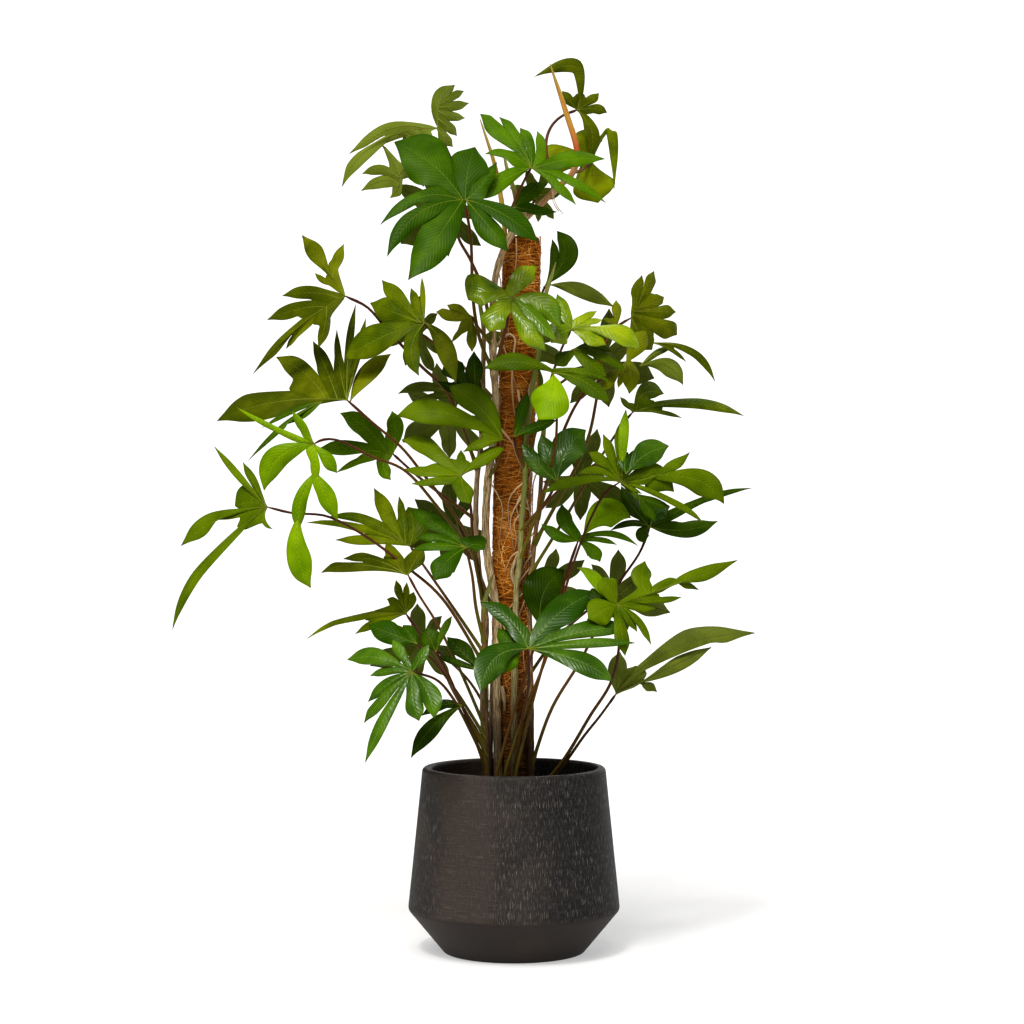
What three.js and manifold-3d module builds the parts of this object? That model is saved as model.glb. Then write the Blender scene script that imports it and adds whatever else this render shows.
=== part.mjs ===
// Potted oakleaf philodendron: a dark pot, soil, a coir climbing pole and seven leafy stems.
// Millimetres, +Z up, the front of the plant faces -Y. The origin is the centre of the pot's base.
import * as THREE from 'three';
import { mergeVertices } from 'three/addons/utils/BufferGeometryUtils.js';
import Module from 'manifold-3d';

const wasm = await Module();
wasm.setup();

// Pot: an upper wall that flares down to a low shoulder, then a chamfer in to the foot.
const POT_HEIGHT = 229;
const POT_RIM_RADIUS = 114;
const POT_SHOULDER_RADIUS = 132;
const POT_SHOULDER_HEIGHT = 54;
const POT_FOOT_RADIUS = 88;
const POT_WALL = 11;
const POT_FLOOR = 14;
const POT_FLOOR_RADIUS = 84;
const POT_LIP = 3;
const POT_SIDES = 40;

// Soil and the small gap between pieces that touch.
const SOIL_TOP = 196;
const SOIL_MOUND = 5;
const GAP = 0.3;
const SIDE_GAP = 0.5;

// Climbing pole: a stake with a sleeve of coir round it.
const COIR_RADIUS = 24.5;
const COIR_SIDES = 16;
const STAKE_RADIUS = 6;
const STAKE_SIDES = 8;
const STAKE_TOP = 938;
const COIR_TOP = 890;
const COIR_FOOT = 150;
const STAKE_FOOT = 52;
const POLE_STEPS = 8;

// The photograph's own scale, used to place leaves: its pixels are turned into millimetres.
const MM_PER_PIXEL = 1.25;
const AXIS_PIXEL = 514;
const FLOOR_PIXEL = 950;
const HORIZON_PIXEL = 512;
const EYE_DISTANCE = 2900;
const EYE_HEIGHT = (FLOOR_PIXEL - HORIZON_PIXEL) * MM_PER_PIXEL;

// Leaf blades.
const BLADE_THICKNESS = 1.2;
const LONG_LOBE = 66;
const LONG_STATIONS = [0, 0.34, 0.62, 0.86, 1];
const SHORT_STATIONS = [0, 0.4, 0.72, 1];
const SINUS = 0.36;
const LOBE_ARCH = 0.1;
const LOBE_FOLD = 0.28;
const LEAST_LOBE_ANGLE = THREE.MathUtils.degToRad(15);
const SPREAD_PASSES = 30;
const RIB_REACH = 0.5;
const RIB_CHECKS = 20;
const FIRST_RIB_CHECK = 3;
const LOBE_ROOM = 0.46;
const LEAST_SINUS = 0.25;
const SWELL_LEAN = 1.3;
const SWELL_FULLNESS = 0.9;
const STALK_SIDES = 4;
const STALK_FOOT_RADIUS = 2.5;
const STALK_TIP_RADIUS = 1.4;
const STEM_SIDES = 6;
const STEM_STEPS = 1.3;
const STEM_TAPER = 0.35;
const ROOT_CHECKS = 400;
const STALK_MOST_STEPS = 6;
const SHEATH_SIDES = 5;
const SHEATH_STEPS = 5;
const SHEATH_POINT_RADIUS = 0.5;
const SHEATH_FULLNESS = 0.8;

const FRONT = 0;
const BACK = Math.PI;

// A spot seen at a pixel of the photograph, at a depth behind the pole's axis plane, turned to the
// side that the leaf faces.
function spot(x, y, depth, facing = FRONT) {
  const reach = 1 + depth / EYE_DISTANCE;
  const across = (x - AXIS_PIXEL) * MM_PER_PIXEL * reach;
  const height = EYE_HEIGHT + (HORIZON_PIXEL - y) * MM_PER_PIXEL * reach;
  return new THREE.Vector3(across, depth, height).applyAxisAngle(new THREE.Vector3(0, 0, 1), facing);
}

// A closed solid from corner points and triangles.
function solidFrom(points, triangles) {
  const geometry = new THREE.BufferGeometry();
  const flat = points.flatMap((p) => [p.x, p.y, p.z]);
  geometry.setAttribute('position', new THREE.Float32BufferAttribute(flat, 3));
  geometry.setIndex(triangles.flat());
  return solidOf(geometry);
}

function solidOf(source) {
  const geometry = source.clone();
  geometry.deleteAttribute('normal');
  geometry.deleteAttribute('uv');
  const merged = mergeVertices(geometry, 1e-4);
  return new wasm.Manifold(new wasm.Mesh({
    numProp: 3,
    vertProperties: new Float32Array(merged.attributes.position.array),
    triVerts: new Uint32Array(merged.index.array),
  }));
}

function meshOf(name, solid, material) {
  const data = solid.getMesh();
  const geometry = new THREE.BufferGeometry();
  geometry.setAttribute('position', new THREE.BufferAttribute(data.vertProperties, 3));
  geometry.setIndex(new THREE.BufferAttribute(data.triVerts, 1));
  geometry.computeVertexNormals();
  const mesh = new THREE.Mesh(geometry, material);
  mesh.name = name;
  return mesh;
}

// A round bar along a smooth curve, with its own radius at every step, closed at both ends.
function bar(points, radiusAt, steps, sides) {
  const curve = new THREE.CatmullRomCurve3(points, false, 'centripetal');
  const frames = curve.computeFrenetFrames(steps, false);
  const corners = [];
  const triangles = [];
  for (let i = 0; i <= steps; i += 1) {
    const along = i / steps;
    const centre = curve.getPointAt(along);
    for (let j = 0; j < sides; j += 1) {
      const angle = (2 * Math.PI * j) / sides;
      const corner = centre.clone();
      corner.addScaledVector(frames.normals[i], radiusAt(along) * Math.cos(angle));
      corner.addScaledVector(frames.binormals[i], radiusAt(along) * Math.sin(angle));
      corners.push(corner);
    }
  }
  for (let i = 0; i < steps; i += 1) {
    for (let j = 0; j < sides; j += 1) {
      const a = i * sides + j;
      const b = i * sides + ((j + 1) % sides);
      triangles.push([a, b, b + sides], [a, b + sides, a + sides]);
    }
  }
  const last = steps * sides;
  for (let j = 1; j < sides - 1; j += 1) {
    triangles.push([0, j + 1, j], [last, last + j, last + j + 1]);
  }
  return solidFrom(corners, triangles);
}

// One lobe of a leaf: its tip and its widest breadth in photograph pixels, and where it curves,
// the spot that it bends towards.
function lobe(x, y, breadth, bendX = null, bendY = null) {
  const bend = bendX === null ? null : new THREE.Vector2(bendX, bendY);
  return { tip: new THREE.Vector2(x, y), breadth, bend };
}

// Breadth of a lobe along its length: it swells past the middle and runs out to a drawn tip.
function swell(s) {
  return Math.sin(Math.PI * s ** SWELL_LEAN) ** SWELL_FULLNESS;
}

// The lobes of a leaf in order round its junction, starting after the widest gap, each with a
// middle line that leaves the junction in a direction of its own.
function arrange(junction, lobes) {
  const sorted = lobes.map((each) => {
    const toward = (each.bend ?? each.tip).clone().sub(junction);
    return { ...each, angle: toward.angle(), reach: toward.length() * (each.bend ? 1 : RIB_REACH) };
  }).sort((a, b) => a.angle - b.angle);
  let widest = 0;
  let start = 0;
  sorted.forEach((each, i) => {
    const before = sorted[(i + sorted.length - 1) % sorted.length];
    const gap = (each.angle - before.angle + 2 * Math.PI) % (2 * Math.PI) || 2 * Math.PI;
    if (gap > widest) {
      widest = gap;
      start = i;
    }
  });
  const ordered = sorted.map((_, i) => sorted[(start + i) % sorted.length]);
  ordered.forEach((each, i) => {
    if (i > 0 && each.angle < ordered[i - 1].angle) {
      each.angle += 2 * Math.PI;
    }
  });
  for (let pass = 0; pass < SPREAD_PASSES; pass += 1) {
    for (let i = 1; i < ordered.length; i += 1) {
      const short = LEAST_LOBE_ANGLE - (ordered[i].angle - ordered[i - 1].angle);
      if (short > 0) {
        ordered[i].angle += short / 2;
        ordered[i - 1].angle -= short / 2;
      }
    }
  }
  for (const each of ordered) {
    const bend = new THREE.Vector2(Math.cos(each.angle), Math.sin(each.angle));
    bend.multiplyScalar(each.reach).add(junction);
    each.rib = new THREE.QuadraticBezierCurve(junction, bend, each.tip);
    each.length = each.rib.getLength();
  }
  return ordered;
}

// Half breadth of a lobe at a point of its middle line, kept clear of every other lobe.
function halfBreadth(each, others, s) {
  const here = each.rib.getPoint(s);
  let room = Infinity;
  for (const other of others) {
    for (let k = FIRST_RIB_CHECK; k <= RIB_CHECKS; k += 1) {
      room = Math.min(room, here.distanceTo(other.rib.getPoint(k / RIB_CHECKS)));
    }
  }
  return Math.min((each.breadth / 2) * swell(s), LOBE_ROOM * room);
}

// A leaf blade: every lobe is a folded strip from the junction to its tip, neighbours joined as far
// out as the cut between them, the whole given one thickness.
function blade(leaf) {
  const junction = new THREE.Vector2(leaf.at[0], leaf.at[1]);
  const lobes = arrange(junction, leaf.lobes);
  const flat = [{ x: junction.x, y: junction.y, lift: 0 }];
  const triangles = [];
  const sinuses = lobes.map((each, i) => {
    if (i === 0) {
      return null;
    }
    const before = lobes[i - 1];
    const half = (each.angle - before.angle) / 2;
    const shorter = Math.min(each.length, before.length);
    const out = SINUS * shorter * Math.max(LEAST_SINUS, Math.cos(half));
    const angle = before.angle + half;
    flat.push({ x: junction.x + out * Math.cos(angle), y: junction.y + out * Math.sin(angle), lift: 0 });
    return flat.length - 1;
  });
  lobes.forEach((each, i) => {
    const others = lobes.filter((other) => other !== each);
    const stations = each.length > LONG_LOBE ? LONG_STATIONS : SHORT_STATIONS;
    const rows = stations.slice(1, -1).map((s, k) => {
      const centre = each.rib.getPoint(s);
      const along = each.rib.getTangent(s);
      const half = halfBreadth(each, others, s);
      const arch = -LOBE_ARCH * each.length * 4 * s * (1 - s);
      flat.push({ x: centre.x, y: centre.y, lift: arch });
      const rib = flat.length - 1;
      const sides = [-1, 1].map((side) => {
        const shared = side < 0 ? sinuses[i] : sinuses[i + 1];
        if (k === 0 && shared) {
          return shared;
        }
        const x = centre.x - side * along.y * half;
        const y = centre.y + side * along.x * half;
        flat.push({ x, y, lift: arch + LOBE_FOLD * half });
        return flat.length - 1;
      });
      return [sides[0], rib, sides[1]];
    });
    flat.push({ x: each.tip.x, y: each.tip.y, lift: 0 });
    const tip = flat.length - 1;
    triangles.push([0, rows[0][0], rows[0][1]], [0, rows[0][1], rows[0][2]]);
    for (let k = 1; k < rows.length; k += 1) {
      for (let j = 0; j < 2; j += 1) {
        const [a, b] = [rows[k - 1][j], rows[k - 1][j + 1]];
        const [c, d] = [rows[k][j], rows[k][j + 1]];
        triangles.push(j === 0 ? [a, c, b] : [a, d, b]);
        triangles.push(j === 0 ? [b, c, d] : [a, c, d]);
      }
    }
    const end = rows[rows.length - 1];
    triangles.push([end[0], tip, end[1]], [end[1], tip, end[2]]);
  });
  const [leanX, leanZ] = leaf.lean;
  const depths = flat.map((p) => {
    const across = p.x - junction.x;
    const up = junction.y - p.y;
    return leaf.depth + MM_PER_PIXEL * (leanX * across + leanZ * up + p.lift);
  });
  const facing = leaf.facing ?? FRONT;
  const surface = flat.map((p, i) => spot(p.x, p.y, depths[i], facing));
  const normal = new THREE.Vector3(leanX, -1, leanZ).normalize();
  normal.applyAxisAngle(new THREE.Vector3(0, 0, 1), facing).multiplyScalar(BLADE_THICKNESS / 2);
  const count = surface.length;
  const corners = surface.map((p) => p.clone().add(normal));
  corners.push(...surface.map((p) => p.clone().sub(normal)));
  const faces = [];
  const edges = new Map();
  for (const [a, b, c] of triangles) {
    faces.push([a, b, c], [count + a, count + c, count + b]);
    for (const [from, to] of [[a, b], [b, c], [c, a]]) {
      edges.set(`${from} ${to}`, [from, to]);
    }
  }
  for (const [from, to] of edges.values()) {
    if (!edges.has(`${to} ${from}`)) {
      faces.push([from, count + from, count + to], [from, count + to, to]);
    }
  }
  const solid = solidFrom(corners, faces);
  if (solid.volume() > 0) {
    return solid;
  }
  return solidFrom(corners, faces.map(([a, b, c]) => [a, c, b]));
}

// A stem's middle line through photograph spots [x, y, depth].
function stemLine(stem) {
  return stem.route.map(([x, y, depth]) => spot(x, y, depth));
}

// Where a leaf stalk is rooted: the point of the stem's middle line at a photograph height.
function rootOn(stem, y) {
  const curve = new THREE.CatmullRomCurve3(stemLine(stem), false, 'centripetal');
  const wanted = EYE_HEIGHT + (HORIZON_PIXEL - y) * MM_PER_PIXEL;
  let best = curve.getPoint(0);
  for (let i = 0; i <= ROOT_CHECKS; i += 1) {
    const p = curve.getPoint(i / ROOT_CHECKS);
    if (Math.abs(p.z - wanted) < Math.abs(best.z - wanted)) {
      best = p;
    }
  }
  return best;
}

// A leaf stalk from its root on the stem to the junction of the blade.
function stalk(leaf, stem) {
  const facing = leaf.facing ?? FRONT;
  const top = spot(leaf.at[0], leaf.at[1], leaf.depth, facing);
  const root = rootOn(stem, leaf.root);
  const inView = root.clone().applyAxisAngle(new THREE.Vector3(0, 0, 1), -facing);
  const passes = leaf.stalk ?? [];
  const points = [top];
  passes.forEach(([x, y], i) => {
    const part = (i + 1) / (passes.length + 1);
    const ease = part * part * (3 - 2 * part);
    points.push(spot(x, y, leaf.depth + (inView.y - leaf.depth) * ease, facing));
  });
  points.push(root);
  const radiusAt = (s) => STALK_TIP_RADIUS + (STALK_FOOT_RADIUS - STALK_TIP_RADIUS) * s;
  return bar(points, radiusAt, Math.min(STALK_MOST_STEPS, passes.length + 2), STALK_SIDES);
}

// A rolled new leaf: a slim cone from the stem to its point.
function sheath(spec) {
  const points = spec.route.map(([x, y, depth]) => spot(x, y, depth));
  const full = (s) => Math.sin(Math.PI * (0.25 + 0.75 * s)) ** SHEATH_FULLNESS;
  return bar(points, (s) => SHEATH_POINT_RADIUS + spec.radius * full(s), SHEATH_STEPS, SHEATH_SIDES);
}

// A leaf of the plain form, for the side of the plant that the photograph doesn't show: a broad
// end lobe, two long side lobes and two forked base lobes, each given as its turn in degrees from
// the end lobe, its reach and its breadth as shares of the leaf's size.
const PLAIN_FORM = [
  [-138, 0.6, 0.2], [-100, 0.82, 0.26], [-50, 0.88, 0.26], [0, 1.12, 0.4], [50, 0.84, 0.26],
  [96, 0.86, 0.26], [134, 0.64, 0.2],
];
const PLAIN_BEND_TURN = 0.84;
const PLAIN_BEND_REACH = 0.55;

function fan(x, y, size, heading, rest) {
  const lobes = PLAIN_FORM.map(([turn, reach, share]) => {
    const tip = THREE.MathUtils.degToRad(heading + turn);
    const bend = THREE.MathUtils.degToRad(heading + turn * PLAIN_BEND_TURN);
    const far = size * reach;
    const near = PLAIN_BEND_REACH * far;
    return lobe(
      x + far * Math.cos(tip), y + far * Math.sin(tip), size * share,
      x + near * Math.cos(bend), y + near * Math.sin(bend),
    );
  });
  return { at: [x, y], lobes, facing: BACK, ...rest };
}

const tallStem = {
  name: 'leafy_stem_tall',
  radius: 4.3,
  route: [
    [499, 840, -22], [498, 770, -24], [497, 720, -24], [497, 650, -25], [498, 616, -25], [494, 594, -20],
    [486, 540, -8], [488, 480, -10], [496, 415, -24], [493, 350, -20], [494, 285, -20], [501, 256, -27],
    [510, 236, -31], [524, 220, -20], [545, 200, -4], [557, 188, 4], [571, 175, 6], [577, 163, 4],
  ],
  sheaths: [
    { radius: 3.2, route: [[577, 166, 4], [576, 146, 0], [566, 112, -6], [550, 64, -12]] },
    { radius: 2.6, route: [[506, 244, -25], [502, 205, -28], [495, 166, -30], [480, 119, -34]] },
  ],
  leaves: [
    {
      at: [577, 110], depth: 30, lean: [0.5, 0.2], root: 190,
      stalk: [[562, 116], [551, 127], [546, 144], [550, 172]],
      lobes: [
        lobe(562, 91, 9), lobe(534, 77, 15, 604, 36), lobe(600, 95, 8, 588, 107),
        lobe(607, 112, 7, 594, 112),
        lobe(589, 158, 13, 588, 130),
      ],
    },
    {
      at: [592, 162], depth: 62, lean: [0.5, 0.4], root: 172, stalk: [[582, 170]],
      lobes: [
        lobe(554, 186, 32, 552, 134), lobe(584, 130, 24), lobe(614, 190, 12, 616, 118),
        lobe(597, 205, 38),
      ],
    },
    {
      at: [531, 168], depth: -52, lean: [0.25, 0.9], root: 240,
      stalk: [[524, 181], [516, 198], [511, 212]],
      lobes: [
        lobe(473, 200, 17, 505, 180), lobe(485, 154, 7, 508, 150), lobe(480, 115, 22, 510, 140),
        lobe(499, 117, 13, 519, 140), lobe(520, 129, 13), lobe(537, 132, 11), lobe(596, 164, 15),
        lobe(577, 203, 12, 552, 176),
      ],
    },
    {
      at: [513, 211], depth: -22, lean: [0.3, 0.5], root: 236, stalk: [[508, 222]],
      lobes: [lobe(547, 184, 14, 526, 190), lobe(557, 212, 8)],
    },
    {
      at: [466, 200], depth: -118, lean: [0.05, 0.75], root: 345,
      stalk: [[457, 231], [471, 261], [483, 290]],
      lobes: [
        lobe(508, 252, 25, 482, 216), lobe(537, 241, 22, 500, 212), lobe(497, 164, 14, 480, 186),
        lobe(473, 148, 32), lobe(394, 142, 46, 436, 170), lobe(381, 225, 14, 420, 186),
        lobe(387, 256, 18, 412, 206), lobe(408, 280, 30, 434, 222),
      ],
    },
    {
      at: [437, 128], depth: -34, lean: [-0.7, 0.6], root: 375,
      stalk: [[445, 145], [456, 172], [470, 232], [473, 299], [480, 340]],
      lobes: [
        lobe(453, 146, 12), lobe(457, 136, 10), lobe(465, 118, 9), lobe(470, 103, 10, 452, 114),
        lobe(464, 91, 10, 446, 106), lobe(455, 85, 16, 433, 100), lobe(342, 187, 24, 384, 106),
        lobe(362, 174, 16, 398, 136), lobe(362, 191, 14, 404, 156), lobe(390, 198, 14, 416, 164),
      ],
    },
    {
      at: [471, 316], depth: -52, lean: [-0.3, 0.5], root: 348, stalk: [[480, 330]],
      lobes: [lobe(436, 312, 14), lobe(447, 305, 10), lobe(451, 343, 5), lobe(472, 352, 10)],
    },
    {
      at: [509, 303], depth: -104, lean: [0.1, 0.6], root: 372, stalk: [[504, 335]],
      lobes: [
        lobe(470, 322, 42, 482, 290), lobe(538, 266, 17, 514, 284), lobe(560, 329, 24, 540, 296),
        lobe(546, 358, 18, 522, 326),
      ],
    },
    {
      at: [503, 440], depth: -66, lean: [0, 0.5], root: 478, stalk: [[499, 460]],
      lobes: [lobe(396, 416, 22, 450, 408), lobe(447, 387, 28, 480, 408)],
    },
  ],
};

const leftStem = {
  name: 'leafy_stem_left',
  radius: 3.6,
  route: [
    [486, 840, 4], [485, 770, 4], [483, 700, 6], [485, 650, 6], [486, 620, 6], [480, 580, 8],
    [476, 530, 10], [477, 480, 10], [482, 430, 6], [483, 380, 4], [484, 335, 4],
  ],
  sheaths: [{ radius: 2.4, route: [[484, 340, 4], [483, 322, 4], [480, 304, 4], [478, 283, 2]] }],
  leaves: [
    {
      at: [345, 296], depth: 22, lean: [-0.85, 0.7], root: 470,
      stalk: [[367, 307], [385, 327], [420, 365], [447, 392]],
      lobes: [
        lobe(344, 244, 10, 334, 270), lobe(302, 235, 14, 318, 274), lobe(315, 274, 5),
        lobe(282, 296, 14, 314, 288),
        lobe(267, 320, 14, 306, 304), lobe(253, 374, 11, 290, 320), lobe(286, 349, 5, 310, 326),
        lobe(318, 349, 9, 328, 318),
      ],
    },
    {
      at: [424, 324], depth: -30, lean: [-0.6, 0.7], root: 420,
      stalk: [[440, 340], [449, 362], [466, 393]],
      lobes: [
        lobe(422, 277, 5), lobe(411, 288, 10), lobe(383, 280, 17, 400, 304), lobe(370, 300, 18, 398, 313),
        lobe(344, 360, 26, 384, 324), lobe(419, 376, 15, 408, 346),
      ],
    },
    {
      at: [347, 400], depth: -14, lean: [-0.7, 1.1], root: 620,
      stalk: [[373, 423], [402, 448], [420, 470], [453, 513], [472, 545]],
      lobes: [
        lobe(250, 456, 6, 292, 414), lobe(217, 421, 24, 268, 384), lobe(276, 357, 20, 314, 370),
        lobe(313, 341, 10, 328, 366), lobe(337, 329, 6), lobe(356, 304, 6, 340, 350),
        lobe(365, 318, 6, 352, 350),
        lobe(390, 355, 18, 366, 376),
      ],
    },
    {
      at: [393, 454], depth: 52, lean: [-0.5, 0.4], root: 520, stalk: [[420, 478]],
      lobes: [
        lobe(391, 480, 12), lobe(330, 476, 6, 358, 456), lobe(319, 448, 14, 356, 445),
        lobe(340, 413, 17, 366, 428),
        lobe(392, 412, 13),
      ],
    },
    {
      at: [310, 442], depth: -60, lean: [-0.2, 0.1], root: 560,
      stalk: [[319, 441], [329, 439], [343, 442], [370, 456], [404, 470], [440, 510]],
      lobes: [
        lobe(334, 475, 11, 322, 462), lobe(332, 522, 14, 318, 480), lobe(311, 588, 15, 290, 520),
        lobe(264, 491, 19, 284, 450), lobe(236, 407, 4, 280, 424), lobe(292, 411, 5),
      ],
    },
    {
      at: [484, 400], depth: -40, lean: [-0.3, 0.4], root: 432, stalk: [[485, 415]],
      lobes: [lobe(448, 356, 24, 456, 386), lobe(474, 352, 13), lobe(438, 384, 9, 460, 392)],
    },
    {
      at: [461, 476], depth: -84, lean: [-0.2, 0.8], root: 600,
      stalk: [[470, 504], [472, 530], [475, 560]],
      lobes: [
        lobe(471, 507, 16), lobe(405, 470, 13, 430, 474), lobe(401, 440, 18, 436, 442), lobe(466, 449, 8),
        lobe(504, 455, 12, 484, 460),
      ],
    },
  ],
};

const leftBaseStem = {
  name: 'leafy_stem_left_base',
  radius: 4,
  route: [
    [487, 840, -34], [487, 770, -36], [486, 720, -38], [486, 680, -38], [484, 645, -38],
    [483, 622, -38],
  ],
  sheaths: [{ radius: 2.6, route: [[483, 626, -38], [484, 606, -38], [488, 590, -40], [494, 572, -44]] }],
  leaves: [
    {
      at: [267, 507], depth: -40, lean: [-0.8, 0.5], root: 665,
      stalk: [[292, 513], [326, 516], [362, 534], [408, 568], [441, 597]],
      lobes: [
        lobe(272, 529, 4), lobe(171, 633, 13, 200, 540), lobe(181, 546, 19, 214, 520), lobe(217, 520, 5),
        lobe(214, 446, 9, 240, 480), lobe(242, 458, 9, 252, 480),
      ],
    },
    {
      at: [410, 546], depth: -4, lean: [-0.3, 0.7], root: 652, stalk: [[424, 566], [452, 606]],
      lobes: [
        lobe(370, 550, 8), lobe(335, 540, 10, 372, 532), lobe(306, 524, 7, 364, 514),
        lobe(375, 489, 12, 388, 520),
        lobe(398, 496, 8), lobe(421, 508, 24),
      ],
    },
    {
      at: [466, 548], depth: -84, lean: [-0.1, 0.9], root: 640, stalk: [[472, 575], [476, 608]],
      lobes: [
        lobe(401, 566, 17, 432, 540), lobe(434, 580, 19, 452, 560), lobe(413, 511, 13, 440, 530),
        lobe(483, 552, 13),
      ],
    },
    {
      at: [408, 575], depth: -62, lean: [-0.5, 1], root: 728, stalk: [[419, 595], [436, 622], [460, 670]],
      lobes: [lobe(321, 572, 13, 354, 552), lobe(385, 548, 14)],
    },
    {
      at: [406, 614], depth: -20, lean: [-0.7, 0.6], root: 744,
      stalk: [[419, 632], [436, 654], [454, 692]],
      lobes: [
        lobe(355, 634, 8, 380, 620), lobe(307, 639, 10, 346, 608), lobe(388, 599, 6), lobe(395, 582, 8),
        lobe(407, 583, 5), lobe(414, 594, 8),
      ],
    },
    {
      at: [417, 644], depth: -72, lean: [-0.2, 0.8], root: 736, stalk: [[436, 664], [458, 694]],
      lobes: [lobe(372, 626, 19, 394, 640), lobe(402, 625, 11)],
    },
    {
      at: [436, 652], depth: -96, lean: [0, 0.4], root: 752, stalk: [[446, 670], [462, 706]],
      lobes: [lobe(417, 634, 12), lobe(427, 622, 11), lobe(451, 617, 7, 441, 632)],
    },
    {
      at: [418, 671], depth: -122, lean: [-0.5, 0.5], root: 762,
      stalk: [[435, 679], [452, 697], [470, 730]],
      lobes: [
        lobe(434, 719, 17, 432, 692), lobe(420, 721, 19, 412, 696), lobe(366, 763, 11, 384, 714),
        lobe(364, 723, 15, 386, 692), lobe(369, 702, 12, 394, 678), lobe(370, 676, 8, 388, 664),
        lobe(347, 660, 15, 384, 652), lobe(394, 640, 10), lobe(428, 645, 9),
      ],
    },
    {
      at: [462, 706], depth: -70, lean: [-0.2, 0.4], root: 768, stalk: [[471, 728]],
      lobes: [lobe(411, 758, 14, 434, 718), lobe(421, 716, 11, 442, 696)],
    },
    {
      at: [481, 671], depth: -84, lean: [-0.2, 0.6], root: 702, stalk: [[485, 686]],
      lobes: [lobe(447, 637, 16), lobe(436, 655, 7)],
    },
  ],
};

const frontStem = {
  name: 'leafy_stem_front',
  radius: 3.5,
  route: [
    [514, 840, -30], [514, 770, -32], [514, 700, -33], [515, 640, -33], [517, 581, -33], [520, 559, -33],
    [522, 520, -33], [525, 481, -31], [526, 440, -30], [532, 390, -28], [540, 340, -20], [543, 300, -14],
  ],
  sheaths: [{ radius: 2, route: [[543, 304, -14], [547, 290, -14], [551, 278, -16], [556, 262, -18]] }],
  leaves: [
    {
      at: [545, 286], depth: 6, lean: [0.5, 0.3], root: 318, stalk: [[541, 298]],
      lobes: [lobe(557, 231, 23, 588, 252), lobe(614, 306, 14, 578, 284)],
    },
    {
      at: [572, 328], depth: -76, lean: [0.3, 0.8], root: 470, stalk: [[561, 350], [546, 395]],
      lobes: [
        lobe(557, 294, 10), lobe(596, 312, 6), lobe(638, 346, 16, 604, 322), lobe(622, 363, 12, 594, 342),
        lobe(552, 345, 17),
      ],
    },
    {
      at: [550, 375], depth: -150, lean: [0.1, 0.7], root: 560,
      stalk: [[556, 395], [555, 447], [541, 500]],
      lobes: [
        lobe(483, 369, 20, 520, 352), lobe(541, 420, 34, 552, 395), lobe(610, 404, 19, 580, 380),
        lobe(611, 382, 7, 578, 366),
      ],
    },
    {
      at: [514, 437], depth: -56, lean: [0.1, 0.5], root: 470, stalk: [[517, 452]],
      lobes: [lobe(528, 392, 11), lobe(557, 420, 10, 536, 426)],
    },
    {
      at: [557, 481], depth: -78, lean: [0.2, 0.5], root: 530, stalk: [[547, 500]],
      lobes: [lobe(519, 444, 16, 537, 470), lobe(545, 437, 14), lobe(587, 431, 22, 565, 448)],
    },
    {
      at: [533, 647], depth: -142, lean: [0.1, 0.8], root: 740, stalk: [[538, 676], [530, 712]],
      lobes: [
        lobe(484, 690, 27, 500, 648), lobe(485, 601, 13, 512, 614), lobe(531, 616, 9),
        lobe(598, 592, 20, 558, 616),
        lobe(630, 640, 19, 590, 620), lobe(612, 683, 17, 586, 650),
      ],
    },
  ],
};

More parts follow.
